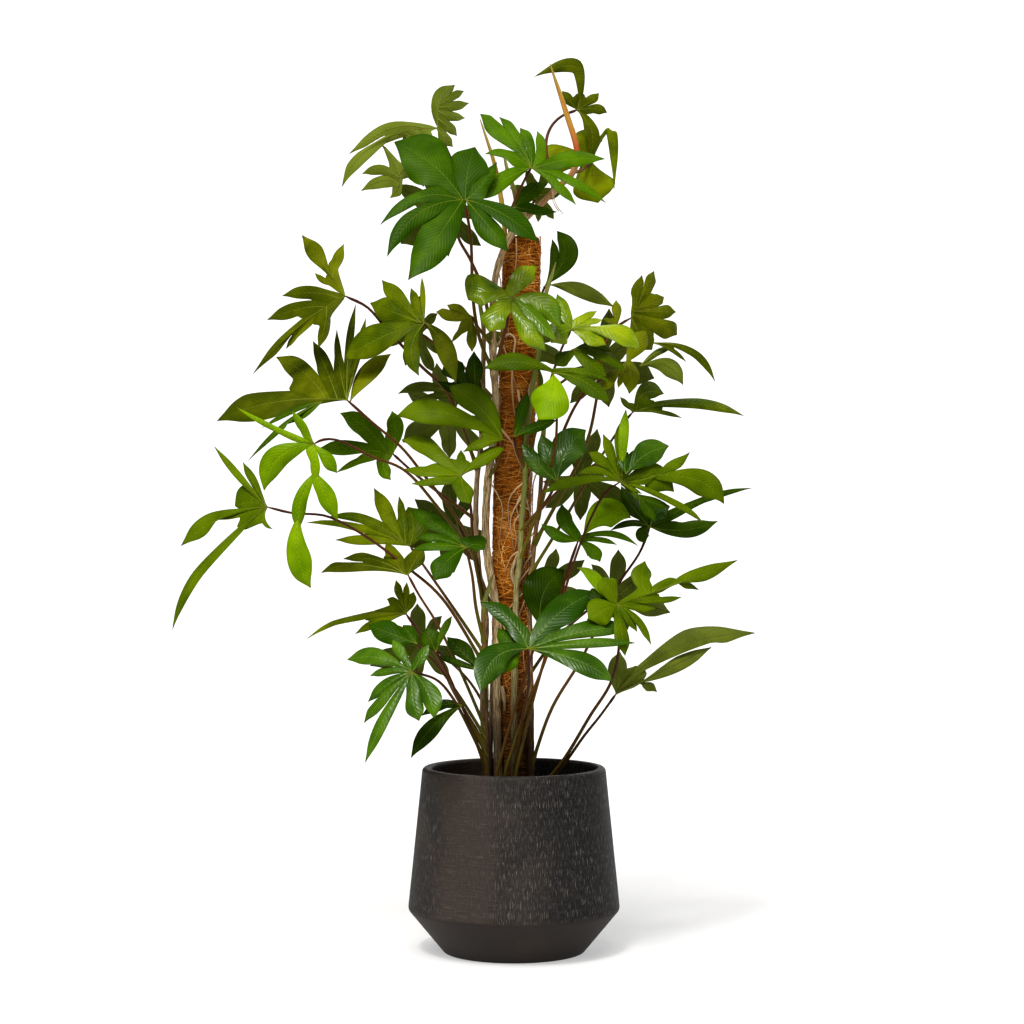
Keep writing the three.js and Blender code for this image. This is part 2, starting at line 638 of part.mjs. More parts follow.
const rightStem = {
  name: 'leafy_stem_right',
  radius: 3.8,
  route: [
    [532, 840, -24], [531, 770, -24], [531, 700, -24], [530, 640, -24], [530, 590, -24], [534, 546, -18],
    [540, 495, -8], [542, 455, -4],
  ],
  sheaths: [{ radius: 2.6, route: [[542, 460, -4], [543, 440, -4], [545, 420, -6], [548, 396, -10]] }],
  leaves: [
    {
      at: [631, 318], depth: 26, lean: [0.9, 0.4], root: 545,
      stalk: [[618, 326], [604, 346], [596, 402], [586, 444]],
      lobes: [
        lobe(642, 275, 10, 636, 296), lobe(654, 271, 14), lobe(665, 297, 14), lobe(677, 313, 14),
        lobe(678, 335, 17),
        lobe(616, 301, 8),
      ],
    },
    {
      at: [626, 362], depth: -22, lean: [0.7, 0.8], root: 520,
      stalk: [[606, 376], [582, 396], [560, 440]],
      lobes: [
        lobe(629, 394, 14), lobe(602, 391, 12), lobe(646, 326, 26), lobe(715, 382, 10, 690, 330),
        lobe(683, 385, 17, 660, 354),
      ],
    },
    {
      at: [633, 412], depth: -4, lean: [0.8, 0.9], root: 572, stalk: [[626, 420], [604, 452], [570, 510]],
      lobes: [
        lobe(620, 397, 8), lobe(664, 394, 19, 640, 382), lobe(744, 416, 12, 690, 396), lobe(682, 418, 7),
      ],
    },
    {
      at: [620, 482], depth: -58, lean: [0.5, 0.9], root: 636,
      stalk: [[606, 492], [586, 520], [560, 575]],
      lobes: [
        lobe(572, 474, 12, 590, 461), lobe(546, 485, 9, 584, 478), lobe(643, 422, 16, 604, 436),
        lobe(625, 410, 9),
        lobe(634, 450, 12), lobe(668, 446, 24, 640, 466), lobe(687, 453, 12, 658, 472),
        lobe(724, 505, 27, 680, 474),
        lobe(642, 494, 4),
      ],
    },
    {
      at: [648, 538], depth: 14, lean: [0.8, 0.7], root: 655, stalk: [[640, 552], [616, 586], [580, 622]],
      lobes: [
        lobe(613, 530, 10, 632, 522), lobe(621, 488, 15, 640, 508), lobe(668, 506, 19),
        lobe(754, 491, 9, 700, 500),
        lobe(704, 526, 9, 680, 516),
      ],
    },
    {
      at: [578, 541], depth: -46, lean: [0.2, 0.7], root: 612, stalk: [[562, 566]],
      lobes: [
        lobe(541, 526, 10, 558, 540), lobe(563, 507, 13), lobe(630, 511, 21, 598, 506),
        lobe(635, 546, 6, 610, 527),
        lobe(617, 546, 5),
      ],
    },
    {
      at: [617, 604], depth: -100, lean: [0.5, 0.7], root: 722,
      stalk: [[604, 622], [580, 660], [556, 698]],
      lobes: [
        lobe(590, 623, 22), lobe(576, 570, 7, 596, 586), lobe(568, 541, 12, 602, 572),
        lobe(645, 562, 22, 642, 598),
        lobe(738, 560, 12, 676, 584), lobe(714, 586, 9, 664, 594), lobe(660, 608, 7),
        lobe(651, 645, 9, 640, 612),
        lobe(637, 632, 8, 628, 612), lobe(624, 655, 14),
      ],
    },
    {
      at: [616, 694], depth: -60, lean: [0.7, 0.8], root: 764,
      stalk: [[602, 716], [578, 744], [556, 758]],
      lobes: [
        lobe(624, 655, 9), lobe(755, 632, 19, 660, 654), lobe(710, 650, 14, 660, 672), lobe(658, 691, 12),
      ],
    },
    {
      at: [541, 628], depth: -56, lean: [0.1, 0.4], root: 668, stalk: [[536, 648]],
      lobes: [lobe(565, 573, 27, 534, 588)],
    },
  ],
};

const backStem = {
  name: 'leafy_stem_back',
  radius: 4,
  route: [
    [516, 840, 32], [515, 770, 33], [514, 680, 34], [512, 590, 34], [512, 480, 34], [516, 380, 34],
    [520, 300, 34], [522, 236, 32], [516, 205, 30],
  ],
  sheaths: [{ radius: 2.6, route: [[517, 208, 30], [514, 190, 30], [508, 172, 32], [503, 150, 36]] }],
  leaves: [
    fan(586, 182, 58, 40, { depth: -92, lean: [0.5, 0.8], root: 250, stalk: [[548, 208]] }),
    fan(492, 176, 46, -120, { depth: -108, lean: [-0.2, 0.8], root: 214, stalk: [[498, 196]] }),
    fan(500, 316, 60, 100, { depth: -150, lean: [0, 0.9], root: 372, stalk: [[506, 340]] }),
    fan(428, 350, 58, 160, { depth: -100, lean: [-0.7, 0.7], root: 430, stalk: [[474, 384]] }),
    fan(578, 402, 60, 30, { depth: -130, lean: [0.5, 0.9], root: 470, stalk: [[538, 430]] }),
    fan(446, 470, 60, 150, { depth: -160, lean: [-0.4, 0.9], root: 548, stalk: [[482, 506]] }),
    fan(414, 600, 58, 165, { depth: -100, lean: [-0.7, 0.7], root: 700, stalk: [[470, 645]] }),
    fan(614, 318, 46, 10, { depth: -124, lean: [0.6, 0.6], root: 420, stalk: [[570, 356]] }),
  ],
};

const backBaseStem = {
  name: 'leafy_stem_back_base',
  radius: 4,
  route: [[500, 840, 28], [500, 770, 30], [500, 700, 30], [499, 640, 30], [498, 592, 30]],
  sheaths: [{ radius: 2.6, route: [[498, 596, 30], [498, 576, 30], [500, 560, 32], [503, 540, 34]] }],
  leaves: [
    fan(574, 524, 58, 20, { depth: -120, lean: [0.6, 0.7], root: 630, stalk: [[552, 572]] }),
    fan(486, 590, 66, 110, { depth: -190, lean: [-0.1, 0.9], root: 690, stalk: [[500, 632]] }),
    fan(606, 652, 56, 20, { depth: -100, lean: [0.7, 0.7], root: 740, stalk: [[560, 690]] }),
  ],
};

const STEMS = [tallStem, leftStem, leftBaseStem, frontStem, rightStem, backStem, backBaseStem];

// A stem tapers to two thirds of its thickness at the top.
function stemBar(line, radius, clearance) {
  const steps = Math.round(STEM_STEPS * (line.length - 1));
  return bar(line, (s) => radius * (1 - STEM_TAPER * s) + clearance, steps, STEM_SIDES);
}

// A stem, its leaves with their stalks, and its rolled new leaves, grown together as one solid.
function leafyStem(stem) {
  let solid = stemBar(stemLine(stem), stem.radius, 0);
  for (const each of stem.sheaths) {
    solid = solid.add(sheath(each));
  }
  for (const leaf of stem.leaves) {
    solid = solid.add(stalk(leaf, stem)).add(blade(leaf));
  }
  return solid;
}

// The plain hole that a stem stands in: its own form with a clearance all round.
function stemHole(stem) {
  const line = stemLine(stem);
  line[0].z -= GAP;
  return stemBar(line, stem.radius, GAP);
}

// The pole's middle line, slightly bowed as it is in the photograph: it stands a little to the
// right, bows left up to the height BOW_END, and leans right from LEAN_START to LEAN_END.
const POLE_OFFSET = 2.5;
const BOW = 6;
const BOW_START = 150;
const BOW_END = 710;
const TOP_LEAN = 7;
const LEAN_START = 560;
const LEAN_END = 900;

function poleLine(fromHeight, toHeight) {
  const points = [];
  for (let i = 0; i <= POLE_STEPS; i += 1) {
    const height = fromHeight + ((toHeight - fromHeight) * i) / POLE_STEPS;
    const share = THREE.MathUtils.clamp((height - BOW_START) / (BOW_END - BOW_START), 0, 1);
    const lean = TOP_LEAN * THREE.MathUtils.smoothstep(height, LEAN_START, LEAN_END);
    points.push(new THREE.Vector3(POLE_OFFSET - BOW * Math.sin(Math.PI * share) + lean, 0, height));
  }
  return points;
}

function pot() {
  const profile = [
    [0, 0], [POT_FOOT_RADIUS, 0], [POT_SHOULDER_RADIUS - 1, POT_SHOULDER_HEIGHT - 3],
    [POT_SHOULDER_RADIUS, POT_SHOULDER_HEIGHT], [POT_RIM_RADIUS + 0.5, POT_HEIGHT - POT_LIP],
    [POT_RIM_RADIUS - 2, POT_HEIGHT], [POT_RIM_RADIUS - POT_WALL + 2, POT_HEIGHT],
    [POT_RIM_RADIUS - POT_WALL, POT_HEIGHT - POT_LIP],
    [POT_SHOULDER_RADIUS - POT_WALL, POT_SHOULDER_HEIGHT + 2], [POT_FLOOR_RADIUS, POT_FLOOR],
    [0, POT_FLOOR],
  ];
  const lathe = new THREE.LatheGeometry(profile.map(([r, z]) => new THREE.Vector2(r, z)), POT_SIDES);
  lathe.rotateX(Math.PI / 2);
  return solidOf(lathe);
}

// Soil fills the pot to below its rim, a little mounded, with a plain hole for each stem and the pole.
function soil() {
  const slope = (POT_SHOULDER_RADIUS - POT_RIM_RADIUS) / (POT_HEIGHT - POT_LIP - POT_SHOULDER_HEIGHT - 2);
  const rim = POT_RIM_RADIUS - POT_WALL + (POT_HEIGHT - POT_LIP - SOIL_TOP) * slope - GAP;
  const profile = [
    [0, POT_FLOOR + GAP], [POT_FLOOR_RADIUS - SIDE_GAP, POT_FLOOR + GAP],
    [POT_SHOULDER_RADIUS - POT_WALL - SIDE_GAP, POT_SHOULDER_HEIGHT + 2], [rim, SOIL_TOP],
    [rim * 0.6, SOIL_TOP + SOIL_MOUND * 0.8], [0, SOIL_TOP + SOIL_MOUND],
  ];
  const lathe = new THREE.LatheGeometry(profile.map(([r, z]) => new THREE.Vector2(r, z)), POT_SIDES);
  lathe.rotateX(Math.PI / 2);
  let solid = solidOf(lathe);
  for (const stem of STEMS) {
    solid = solid.subtract(stemHole(stem));
  }
  return solid.subtract(coirBar(GAP)).subtract(stakeBar(GAP));
}

function coirBar(clearance) {
  const line = poleLine(COIR_FOOT - clearance, COIR_TOP);
  return bar(line, () => COIR_RADIUS + clearance, POLE_STEPS, COIR_SIDES);
}

function stakeBar(clearance) {
  const line = poleLine(STAKE_FOOT - clearance, STAKE_TOP);
  return bar(line, () => STAKE_RADIUS + clearance, POLE_STEPS, STAKE_SIDES);
}

function finish(color, roughness) {
  return new THREE.MeshStandardMaterial({ color, roughness, metalness: 0 });
}

const plant = new THREE.Group();
plant.add(meshOf('pot', pot(), finish(0x383432, 0.85)));
plant.add(meshOf('soil', soil(), finish(0x2a1d14, 0.95)));
plant.add(meshOf('pole_stake', stakeBar(0), finish(0xb59a6a, 0.8)));
plant.add(meshOf('coir_sleeve', coirBar(0).subtract(stakeBar(GAP)), finish(0x9a5a26, 0.95)));
const leafFinish = finish(0x4f7a1a, 0.45);
for (const stem of STEMS) {
  plant.add(meshOf(stem.name, leafyStem(stem), leafFinish));
}

export default plant;
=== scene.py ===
"""Looks of a potted oakleaf philodendron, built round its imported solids.

Shapes are worked out in millimetres and put into meshes in metres. The front faces -Y and +Z is up.
A leaf is placed as the photograph shows it: by the pixels of its lobes, its depth and its lean.
"""
import logging
from dataclasses import dataclass
from enum import Enum

import bpy
import numpy as np
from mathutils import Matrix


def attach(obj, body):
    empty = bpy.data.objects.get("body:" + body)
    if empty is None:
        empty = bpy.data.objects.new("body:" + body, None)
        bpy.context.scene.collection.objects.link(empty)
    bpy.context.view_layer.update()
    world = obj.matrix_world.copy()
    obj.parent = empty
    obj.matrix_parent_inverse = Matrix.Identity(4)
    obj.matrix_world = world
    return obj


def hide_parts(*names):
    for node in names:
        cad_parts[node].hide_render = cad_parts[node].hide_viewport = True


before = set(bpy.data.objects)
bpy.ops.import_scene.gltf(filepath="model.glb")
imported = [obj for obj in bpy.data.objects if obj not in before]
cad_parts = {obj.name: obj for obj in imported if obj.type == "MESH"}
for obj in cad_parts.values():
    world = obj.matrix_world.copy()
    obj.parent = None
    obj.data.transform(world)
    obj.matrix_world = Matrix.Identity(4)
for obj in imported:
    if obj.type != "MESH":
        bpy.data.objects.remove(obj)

log = logging.getLogger("plant")
Array = np.ndarray
Colour = tuple[float, float, float]
Spot = tuple[float, ...]

METRES = 0.001
POT_SEED = 20
FIRST_STEM_SEED = 100


def paint(red: int, green: int, blue: int) -> Colour:
    """Linear colour of a paint given by its red, green and blue from 0 to 255."""
    share = np.array((red, green, blue)) / 255.0
    curve = np.where(share <= 0.04045, share / 12.92, ((share + 0.055) / 1.055) ** 2.4)
    return tuple(float(value) for value in curve)


def smooth(value: Array, low: float, high: float) -> Array:
    """Smooth step: 0 below low, 1 above high, and 3t squared less 2t cubed between them."""
    share = np.clip((value - low) / (high - low), 0.0, 1.0)
    return share * share * (3.0 - 2.0 * share)


def unit(vectors: Array) -> Array:
    """Vectors of the last axis, each divided by its length."""
    return vectors / np.maximum(np.linalg.norm(vectors, axis=-1, keepdims=True), 1e-9)


@dataclass(frozen=True)
class PhotoView:
    """The level camera that took the photograph, with the pole's axis 2.9 m in front of it.

    A pixel at a depth behind the pole is the place x = (column - axis) * scale * reach and
    z = eye height + (horizon - row) * scale * reach, with reach = 1 + depth / eye distance.
    """

    mm_per_pixel: float = 1.25
    axis_pixel: float = 514.0
    floor_pixel: float = 950.0
    horizon_pixel: float = 512.0
    eye_distance: float = 2900.0
    picture_side: float = 1024.0
    sensor: float = 36.0

    @property
    def eye_height(self) -> float:
        """Height of the camera above the floor."""
        return (self.floor_pixel - self.horizon_pixel) * self.mm_per_pixel

    def spot(self, x: Array, y: Array, depth: Array, turned: bool = False) -> Array:
        """Places seen at pixels.

        Args:
            x: Pixel columns.
            y: Pixel rows.
            depth: Millimetres behind the pole's axis.
            turned: Whether the whole is turned to face the back of the plant.

        Returns:
            Points in millimetres, on a new last axis.
        """
        reach = 1.0 + np.asarray(depth, float) / self.eye_distance
        across = (np.asarray(x, float) - self.axis_pixel) * self.mm_per_pixel * reach
        rise = (self.horizon_pixel - np.asarray(y, float)) * self.mm_per_pixel * reach
        sign = -1.0 if turned else 1.0
        return np.stack([sign * across, sign * depth * np.ones_like(reach), self.eye_height + rise], -1)

    def camera(self) -> None:
        """Puts the camera where the photograph was taken from."""
        data = bpy.data.cameras.new("camera")
        data.sensor_width = self.sensor
        data.lens = self.sensor * self.eye_distance / (self.picture_side * self.mm_per_pixel)
        camera = bpy.data.objects.new("camera", data)
        middle = (self.picture_side / 2 - self.axis_pixel) * self.mm_per_pixel
        camera.location = (middle * METRES, -self.eye_distance * METRES, self.eye_height * METRES)
        camera.rotation_euler = (np.pi / 2, 0.0, 0.0)
        bpy.context.scene.collection.objects.link(camera)
        bpy.context.scene.camera = camera


VIEW = PhotoView()


class SmoothLine:
    """A centripetal Catmull-Rom curve through points.

    Each stretch between two points is a cubic whose end slopes come from the neighbouring points,
    weighted by the square roots of the distances, with a mirrored point beyond each end.
    """

    SAMPLES = 400

    def __init__(self, points: Array) -> None:
        """Keeps the points, with one more beyond each end."""
        points = np.asarray(points, float)
        before, after = 2 * points[0] - points[1], 2 * points[-1] - points[-2]
        self.points = np.vstack([before, points, after])
        self.steps = np.sqrt(np.maximum(np.linalg.norm(np.diff(self.points, axis=0), axis=1), 1e-6))
        self.stretches = len(points) - 1

    def at(self, share: Array) -> Array:
        """Points at shares of the whole, each stretch counting the same."""
        place = np.asarray(share, float) * self.stretches
        first = np.clip(np.floor(place).astype(int), 0, self.stretches - 1)
        t = (place - first)[:, None]
        a, b, c, d = (self.points[first + k] for k in range(4))
        ab, bc, cd = (self.steps[first + k][:, None] for k in range(3))
        start = ((b - a) / ab - (c - a) / (ab + bc) + (c - b) / bc) * bc
        end = ((c - b) / bc - (d - b) / (bc + cd) + (d - c) / cd) * bc
        square, cube = t * t, t * t * t
        return b + start * t + (3 * (c - b) - 2 * start - end) * square + (2 * (b - c) + start + end) * cube

    def even(self, share: Array) -> Array:
        """Points at shares of the curve's length."""
        fine = np.linspace(0.0, 1.0, self.SAMPLES + 1)
        points = self.at(fine)
        run = np.concatenate([[0.0], np.cumsum(np.linalg.norm(np.diff(points, axis=0), axis=1))])
        return self.at(np.interp(np.asarray(share) * run[-1], run, fine))

    def length(self) -> float:
        """Length of the curve in millimetres."""
        points = self.at(np.linspace(0.0, 1.0, self.SAMPLES + 1))
        return float(np.linalg.norm(np.diff(points, axis=0), axis=1).sum())


def tubes(paths: Array, radii: Array, sides: int) -> Array:
    """Closed round bars along paths.

    A ring's point is path + radius * (cos(angle) * side + sin(angle) * other side), where the side
    is the axis furthest from the path's run, made square to its heading. End rings shrink to a point.

    Args:
        paths: Points, as bars by steps by 3.
        radii: Radius at each step, as bars by steps, or by steps and angles.
        sides: Faces round a bar.

    Returns:
        Grids of points, as bars by steps + 2 by sides + 1 by 3.
    """
    heading = unit(np.gradient(paths, axis=1))
    run = np.abs(paths[:, -1] - paths[:, 0])
    axis = np.eye(3)[np.argmin(run, axis=1)][:, None, :]
    side = unit(axis - (axis * heading).sum(-1, keepdims=True) * heading)
    other = np.cross(heading, side)
    angle = np.linspace(0.0, 2.0 * np.pi, sides + 1)
    ring = np.cos(angle)[:, None] * side[..., None, :] + np.sin(angle)[:, None] * other[..., None, :]
    radii = radii[..., None] if radii.ndim == 2 else radii
    body = paths[..., None, :] + radii[..., None] * ring
    ends = [np.repeat(paths[:, [k], None, :], sides + 1, axis=2) for k in (0, -1)]
    return np.concatenate([ends[0], body, ends[1]], axis=1)


class Draft:
    """Grids of points gathered into one closed mesh.

    Every grid keeps its own three maps: pattern, places along and across in metres; growth, shares
    of length and breadth; chance, two random shares. Points in the same small cell are joined; the
    cells are shifted by a part of their size, so that no round number lies on a border.
    """

    MAPS = ("pattern", "growth", "chance")
    CELL = 0.004
    CELL_SHIFT = 0.3137
    KEY_BITS = 21
    SHARP_EDGE = np.radians(55.0)

    def __init__(self) -> None:
        """Starts with nothing in it."""
        self.points: list[Array] = []
        self.faces: list[Array] = []
        self.materials: list[Array] = []
        self.thicknesses: list[Array] = []
        self.maps: dict[str, list[Array]] = {name: [] for name in self.MAPS}
        self.count = 0

    def add(self, points: Array, pattern: Array, growth: Array, chance: Array,
            material: int = 0, thickness: Array | float = 0.0) -> None:
        """Adds one grid or several alike.

        Args:
            points: Points in millimetres, as (grids by) rows by columns by 3.
            pattern: Places along and across, of the points' shape with 2 in place of 3.
            growth: Shares along and across, of the same shape.
            chance: Two random shares, of a shape that spreads to the same.
            material: Number of the finish.
            thickness: Thickness of a blade at each point, where the draft is thickened.
        """
        rows, columns = points.shape[-3], points.shape[-2]
        number = np.arange(points.size // 3).reshape(-1, rows, columns) + self.count
        corners = (number[:, :-1, :-1], number[:, :-1, 1:], number[:, 1:, 1:], number[:, 1:, :-1])
        faces = np.stack(corners, -1).reshape(-1, 4)
        shape = points.shape[:-1]
        self.points.append(points.reshape(-1, 3))
        self.faces.append(faces)
        self.materials.append(np.full(len(faces), material, np.int32))
        self.thicknesses.append(np.broadcast_to(thickness, shape).ravel())
        for name, values in zip(self.MAPS, (pattern, growth, chance)):
            self.maps[name].append(np.broadcast_to(values, (*shape, 2)).reshape(-1, 2))
        self.count += points.size // 3

    def _joined(self, points: Array) -> tuple[Array, Array]:
        """Which points are kept, one for each cell, and the new number of each old point."""
        offset = 1 << (self.KEY_BITS - 1)
        cell = np.floor(points / self.CELL + self.CELL_SHIFT).astype(np.int64) + offset
        key = (cell[:, 0] << (2 * self.KEY_BITS)) | (cell[:, 1] << self.KEY_BITS) | cell[:, 2]
        _, first, number = np.unique(key, return_index=True, return_inverse=True)
        return first, number

    @staticmethod
    def _normals(points: Array, faces: Array) -> Array:
        """Unit normals of points: the sum of the cross products of their faces' diagonals."""
        a, b, c, d = (points[faces[:, k]] for k in range(4))
        spread = np.repeat(np.cross(c - a, d - b), 4, axis=0)
        sums = [np.bincount(faces.ravel(), spread[:, k], len(points)) for k in range(3)]
        return unit(np.stack(sums, -1))

    def _thickened(self, points: Array, faces: Array, raw: Array, materials: Array,
                   thickness: Array) -> tuple[Array, Array, Array, Array]:
        """A sheet made a closed blade: its face, its back turned round, and a rim between them."""
        half = self._normals(points, faces) * thickness[:, None] / 2
        count = len(points)
        start, end = faces, np.roll(faces, -1, axis=1)
        code, back = start.astype(np.int64) * count + end, end.astype(np.int64) * count + start
        open_edge = (start != end) & ~np.isin(code, back)
        a, b = start[open_edge], end[open_edge]
        raw_a, raw_b = raw[open_edge], np.roll(raw, -1, axis=1)[open_edge]
        rim = np.stack([b, a, a + count, b + count], -1)
        rim_raw = np.stack([raw_b, raw_a, raw_a, raw_b], -1)
        rim_material = np.repeat(materials[:, None], 4, axis=1)[open_edge]
        return (
            np.vstack([points + half, points - half]),
            np.vstack([faces, faces[:, ::-1] + count, rim]),
            np.vstack([raw, raw[:, ::-1], rim_raw]),
            np.concatenate([materials, materials + 1, rim_material]),
        )

    def build(self, name: str, finishes: list[bpy.types.Material], blade: bool = False) -> bpy.types.Object:
        """Makes the object.

        Args:
            name: Name of the piece.
            finishes: Its materials. A blade has an upper and a lower one for each.
            blade: Whether the grids are a sheet that gets its thickness.

        Returns:
            The new object, at the origin, with its place in its mesh.
        """
        points, raw = np.concatenate(self.points), np.concatenate(self.faces)
        materials = np.concatenate(self.materials)
        first, number = self._joined(points)
        faces = number[raw]
        points = points[first]
        same = faces == np.roll(faces, -1, axis=1)
        kept = same.sum(1) <= 1
        raw, faces, materials = raw[kept], faces[kept], materials[kept]
        if blade:
            thickness = np.concatenate(self.thicknesses)[first]
            points, faces, raw, materials = self._thickened(points, faces, raw, materials, thickness)
        keep = faces != np.roll(faces, -1, axis=1)
        loops, loop_raw = faces[keep], raw[keep]
        starts = np.concatenate([[0], np.cumsum(keep.sum(1))[:-1]])
        mesh = bpy.data.meshes.new(name)
        mesh.vertices.add(len(points))
        mesh.vertices.foreach_set("co", (points * METRES).astype(np.float32).ravel())
        mesh.loops.add(len(loops))
        mesh.loops.foreach_set("vertex_index", loops.astype(np.int32))
        mesh.polygons.add(len(faces))
        mesh.polygons.foreach_set("loop_start", starts.astype(np.int32))
        mesh.polygons.foreach_set("material_index", materials)
        mesh.polygons.foreach_set("use_smooth", np.ones(len(faces), bool))
        for map_name, parts in self.maps.items():
            layer = mesh.uv_layers.new(name=map_name)
            values = np.concatenate(parts)[loop_raw].astype(np.float32)
            layer.uv.foreach_set("vector", values.ravel())
        mesh.update(calc_edges=True)
        mesh.validate()
        mesh.set_sharp_from_angle(angle=self.SHARP_EDGE)
        for finish in finishes:
            mesh.materials.append(finish)
        piece = bpy.data.objects.new(name, mesh)
        bpy.context.scene.collection.objects.link(piece)
        log.info("%s: %d points, %d faces", name, len(points), len(faces))
        return piece


EVEN_CHANCE = np.array([[0.5, 0.5]])


def bars_into(draft: Draft, paths: Array, radii: Array, sides: int, chance: Array = EVEN_CHANCE,
              material: int = 0) -> None:
    """Adds round bars to a draft, with their length, angle and shares as maps.

    Args:
        draft: Where they go.
        paths: Points, as bars by steps by 3.
        radii: Radii, as for tubes.
        sides: Faces round a bar.
        chance: Two random shares for each bar, as bars by 2.
        material: Number of the finish.
    """
    points = tubes(paths, radii, sides)
    steps = np.linalg.norm(np.diff(paths, axis=1), axis=-1)
    run = np.concatenate([np.zeros((len(paths), 1)), np.cumsum(steps, axis=1)], axis=1)
    run = np.concatenate([run[:, :1], run, run[:, -1:]], axis=1)
    angle = np.linspace(0.0, 1.0, sides + 1)
    shape = points.shape[:-1]
    along = np.broadcast_to(run[..., None] * METRES, shape)
    share = np.broadcast_to((run / run[:, -1:])[..., None], shape)
    round_share = np.broadcast_to(angle, shape)
    pattern, growth = np.stack([along, round_share], -1), np.stack([share, round_share], -1)
    draft.add(points, pattern, growth, chance[:, None, None, :], material)


class Field:
    """A value or colour that varies over a surface. Python's signs add the Math nodes."""

    def __init__(self, shader: "Shader", socket: bpy.types.NodeSocket) -> None:
        """Wraps a node's output socket."""
        self.shader = shader
        self.socket = socket

    def __add__(self, other: "Field | float") -> "Field":
        """Sum."""
        return self.shader.math("ADD", self, other)

    __radd__ = __add__

    def __sub__(self, other: "Field | float") -> "Field":
        """Difference."""
        return self.shader.math("SUBTRACT", self, other)

    def __rsub__(self, other: "Field | float") -> "Field":
        """Difference, with this value taken away."""
        return self.shader.math("SUBTRACT", other, self)

    def __mul__(self, other: "Field | float") -> "Field":
        """Product."""
        return self.shader.math("MULTIPLY", self, other)

    __rmul__ = __mul__

    def __truediv__(self, other: "Field | float") -> "Field":
        """Quotient."""
        return self.shader.math("DIVIDE", self, other)

    def __abs__(self) -> "Field":
        """Size without sign."""
        return self.shader.math("ABSOLUTE", self)

    def wave(self) -> "Field":
        """Cosine of the value in turns, from -1 to 1."""
        return self.shader.math("COSINE", self * (2.0 * np.pi))

    def smooth(self, low: float, high: float) -> "Field":
        """Smooth step from 0 at low to 1 at high; low may be the larger, for a falling step."""
        if low > high:
            return 1.0 - self.smooth(high, low)
        settings = {"interpolation_type": "SMOOTHSTEP"}
        return self.shader.node("ShaderNodeMapRange", settings, {0: self, 1: low, 2: high, 3: 0.0, 4: 1.0})


class Shader:
    """A material and short ways to add nodes to it."""

    def __init__(self, name: str) -> None:
        """Starts a material with an empty node tree."""
        self.material = bpy.data.materials.new(name)
        self.material.use_nodes = True
        self.tree = self.material.node_tree
        self.tree.nodes.clear()

    def node(self, kind: str, settings: dict, values: dict, output: int | str = 0) -> Field:
        """Adds a node.

        Args:
            kind: The node's type.
            settings: Its own settings, made first.
            values: Its sockets' values or links, by name or number.
            output: The socket that is used.

        Returns:
            The node's output.
        """
        made = self.tree.nodes.new(kind)
        for key, value in settings.items():
            setattr(made, key, value)
        for key, value in values.items():
            socket = made.inputs[key]
            if isinstance(value, Field):
                self.tree.links.new(value.socket, socket)
            elif isinstance(value, tuple) and len(value) == 3 and socket.type == "RGBA":
                socket.default_value = (*value, 1.0)
            else:
                socket.default_value = value
        return Field(self, made.outputs[output])

    def math(self, operation: str, *values: Field | float) -> Field:
        """A Math node."""
        return self.node("ShaderNodeMath", {"operation": operation}, dict(enumerate(values)))

    def mix(self, share: Field | float, low: Field | Colour, high: Field | Colour) -> Field:
        """A colour between two, by a share from 0 to 1."""
        return self.node("ShaderNodeMix", {"data_type": "RGBA"}, {0: share, 6: low, 7: high}, 2)

    def split(self, vector: Field) -> tuple[Field, Field, Field]:
        """The three values of a vector."""
        node = self.node("ShaderNodeSeparateXYZ", {}, {0: vector}).socket.node
        return tuple(Field(self, node.outputs[k]) for k in range(3))

    def map(self, name: str) -> tuple[Field, Field, Field]:
        """One of a piece's own maps, as its vector and its two values."""
        vector = self.node("ShaderNodeUVMap", {"uv_map": name}, {})
        return vector, *self.split(vector)[:2]

    def place(self) -> Field:
        """A point's place on the object."""
        return self.node("ShaderNodeTexCoord", {}, {}, "Object")

    def soiled(self, colour: Field, share: float = 0.85, dark: Colour = paint(40, 25, 8)) -> Field:
        """A colour darkened towards the soil, from 400 mm down to 250 mm above the floor: soil stains and
        painted shade near the pot.
        """
        return self.mix(self.split(self.place())[2].smooth(0.4, 0.25) * share, colour, dark)

    def stretched(self, vector: Field, scale: Spot, move: Field | Spot = (0.0, 0.0, 0.0)) -> Field:
        """A place multiplied by a scale on each axis and moved."""
        settings = {"operation": "MULTIPLY_ADD"}
        return self.node("ShaderNodeVectorMath", settings, {0: vector, 1: scale, 2: move})

    def noise(self, vector: Field, scale: float, detail: float = 3.0, roughness: float = 0.55) -> Field:
        """Cloudy noise, from 0 to 1 with most of it near a half."""
        values = {"Vector": vector, "Scale": scale, "Detail": detail, "Roughness": roughness}
        return self.node("ShaderNodeTexNoise", {}, values)

    def bump(self, height: Field, depth: float) -> Field:
        """Relief: a height in shares of a depth in metres."""
        return self.node("ShaderNodeBump", {}, {"Height": height, "Distance": depth, "Strength": 1.0})

    def finish(self, base: Field | Colour, roughness: Field | float, normal: Field | None = None,
               **constants: float) -> bpy.types.Material:
        """Ends the material with one shader.

        Args:
            base: Colour.
            roughness: Roughness.
            normal: Relief.
            constants: Values for the shader's other sockets, with _ for a space.

        Returns:
            The finished material.
        """
        values = {"Base Color": base, "Roughness": roughness}
        values |= {"Normal": normal} if normal else {}
        values |= {key.replace("_", " "): value for key, value in constants.items()}
        shader = self.node("ShaderNodeBsdfPrincipled", {}, values)
        self.node_output(shader)
        return self.material

    def node_output(self, shader: Field) -> None:
        """Links a shader to the material's output."""
        made = self.tree.nodes.new("ShaderNodeOutputMaterial")
        self.tree.links.new(shader.socket, made.inputs["Surface"])


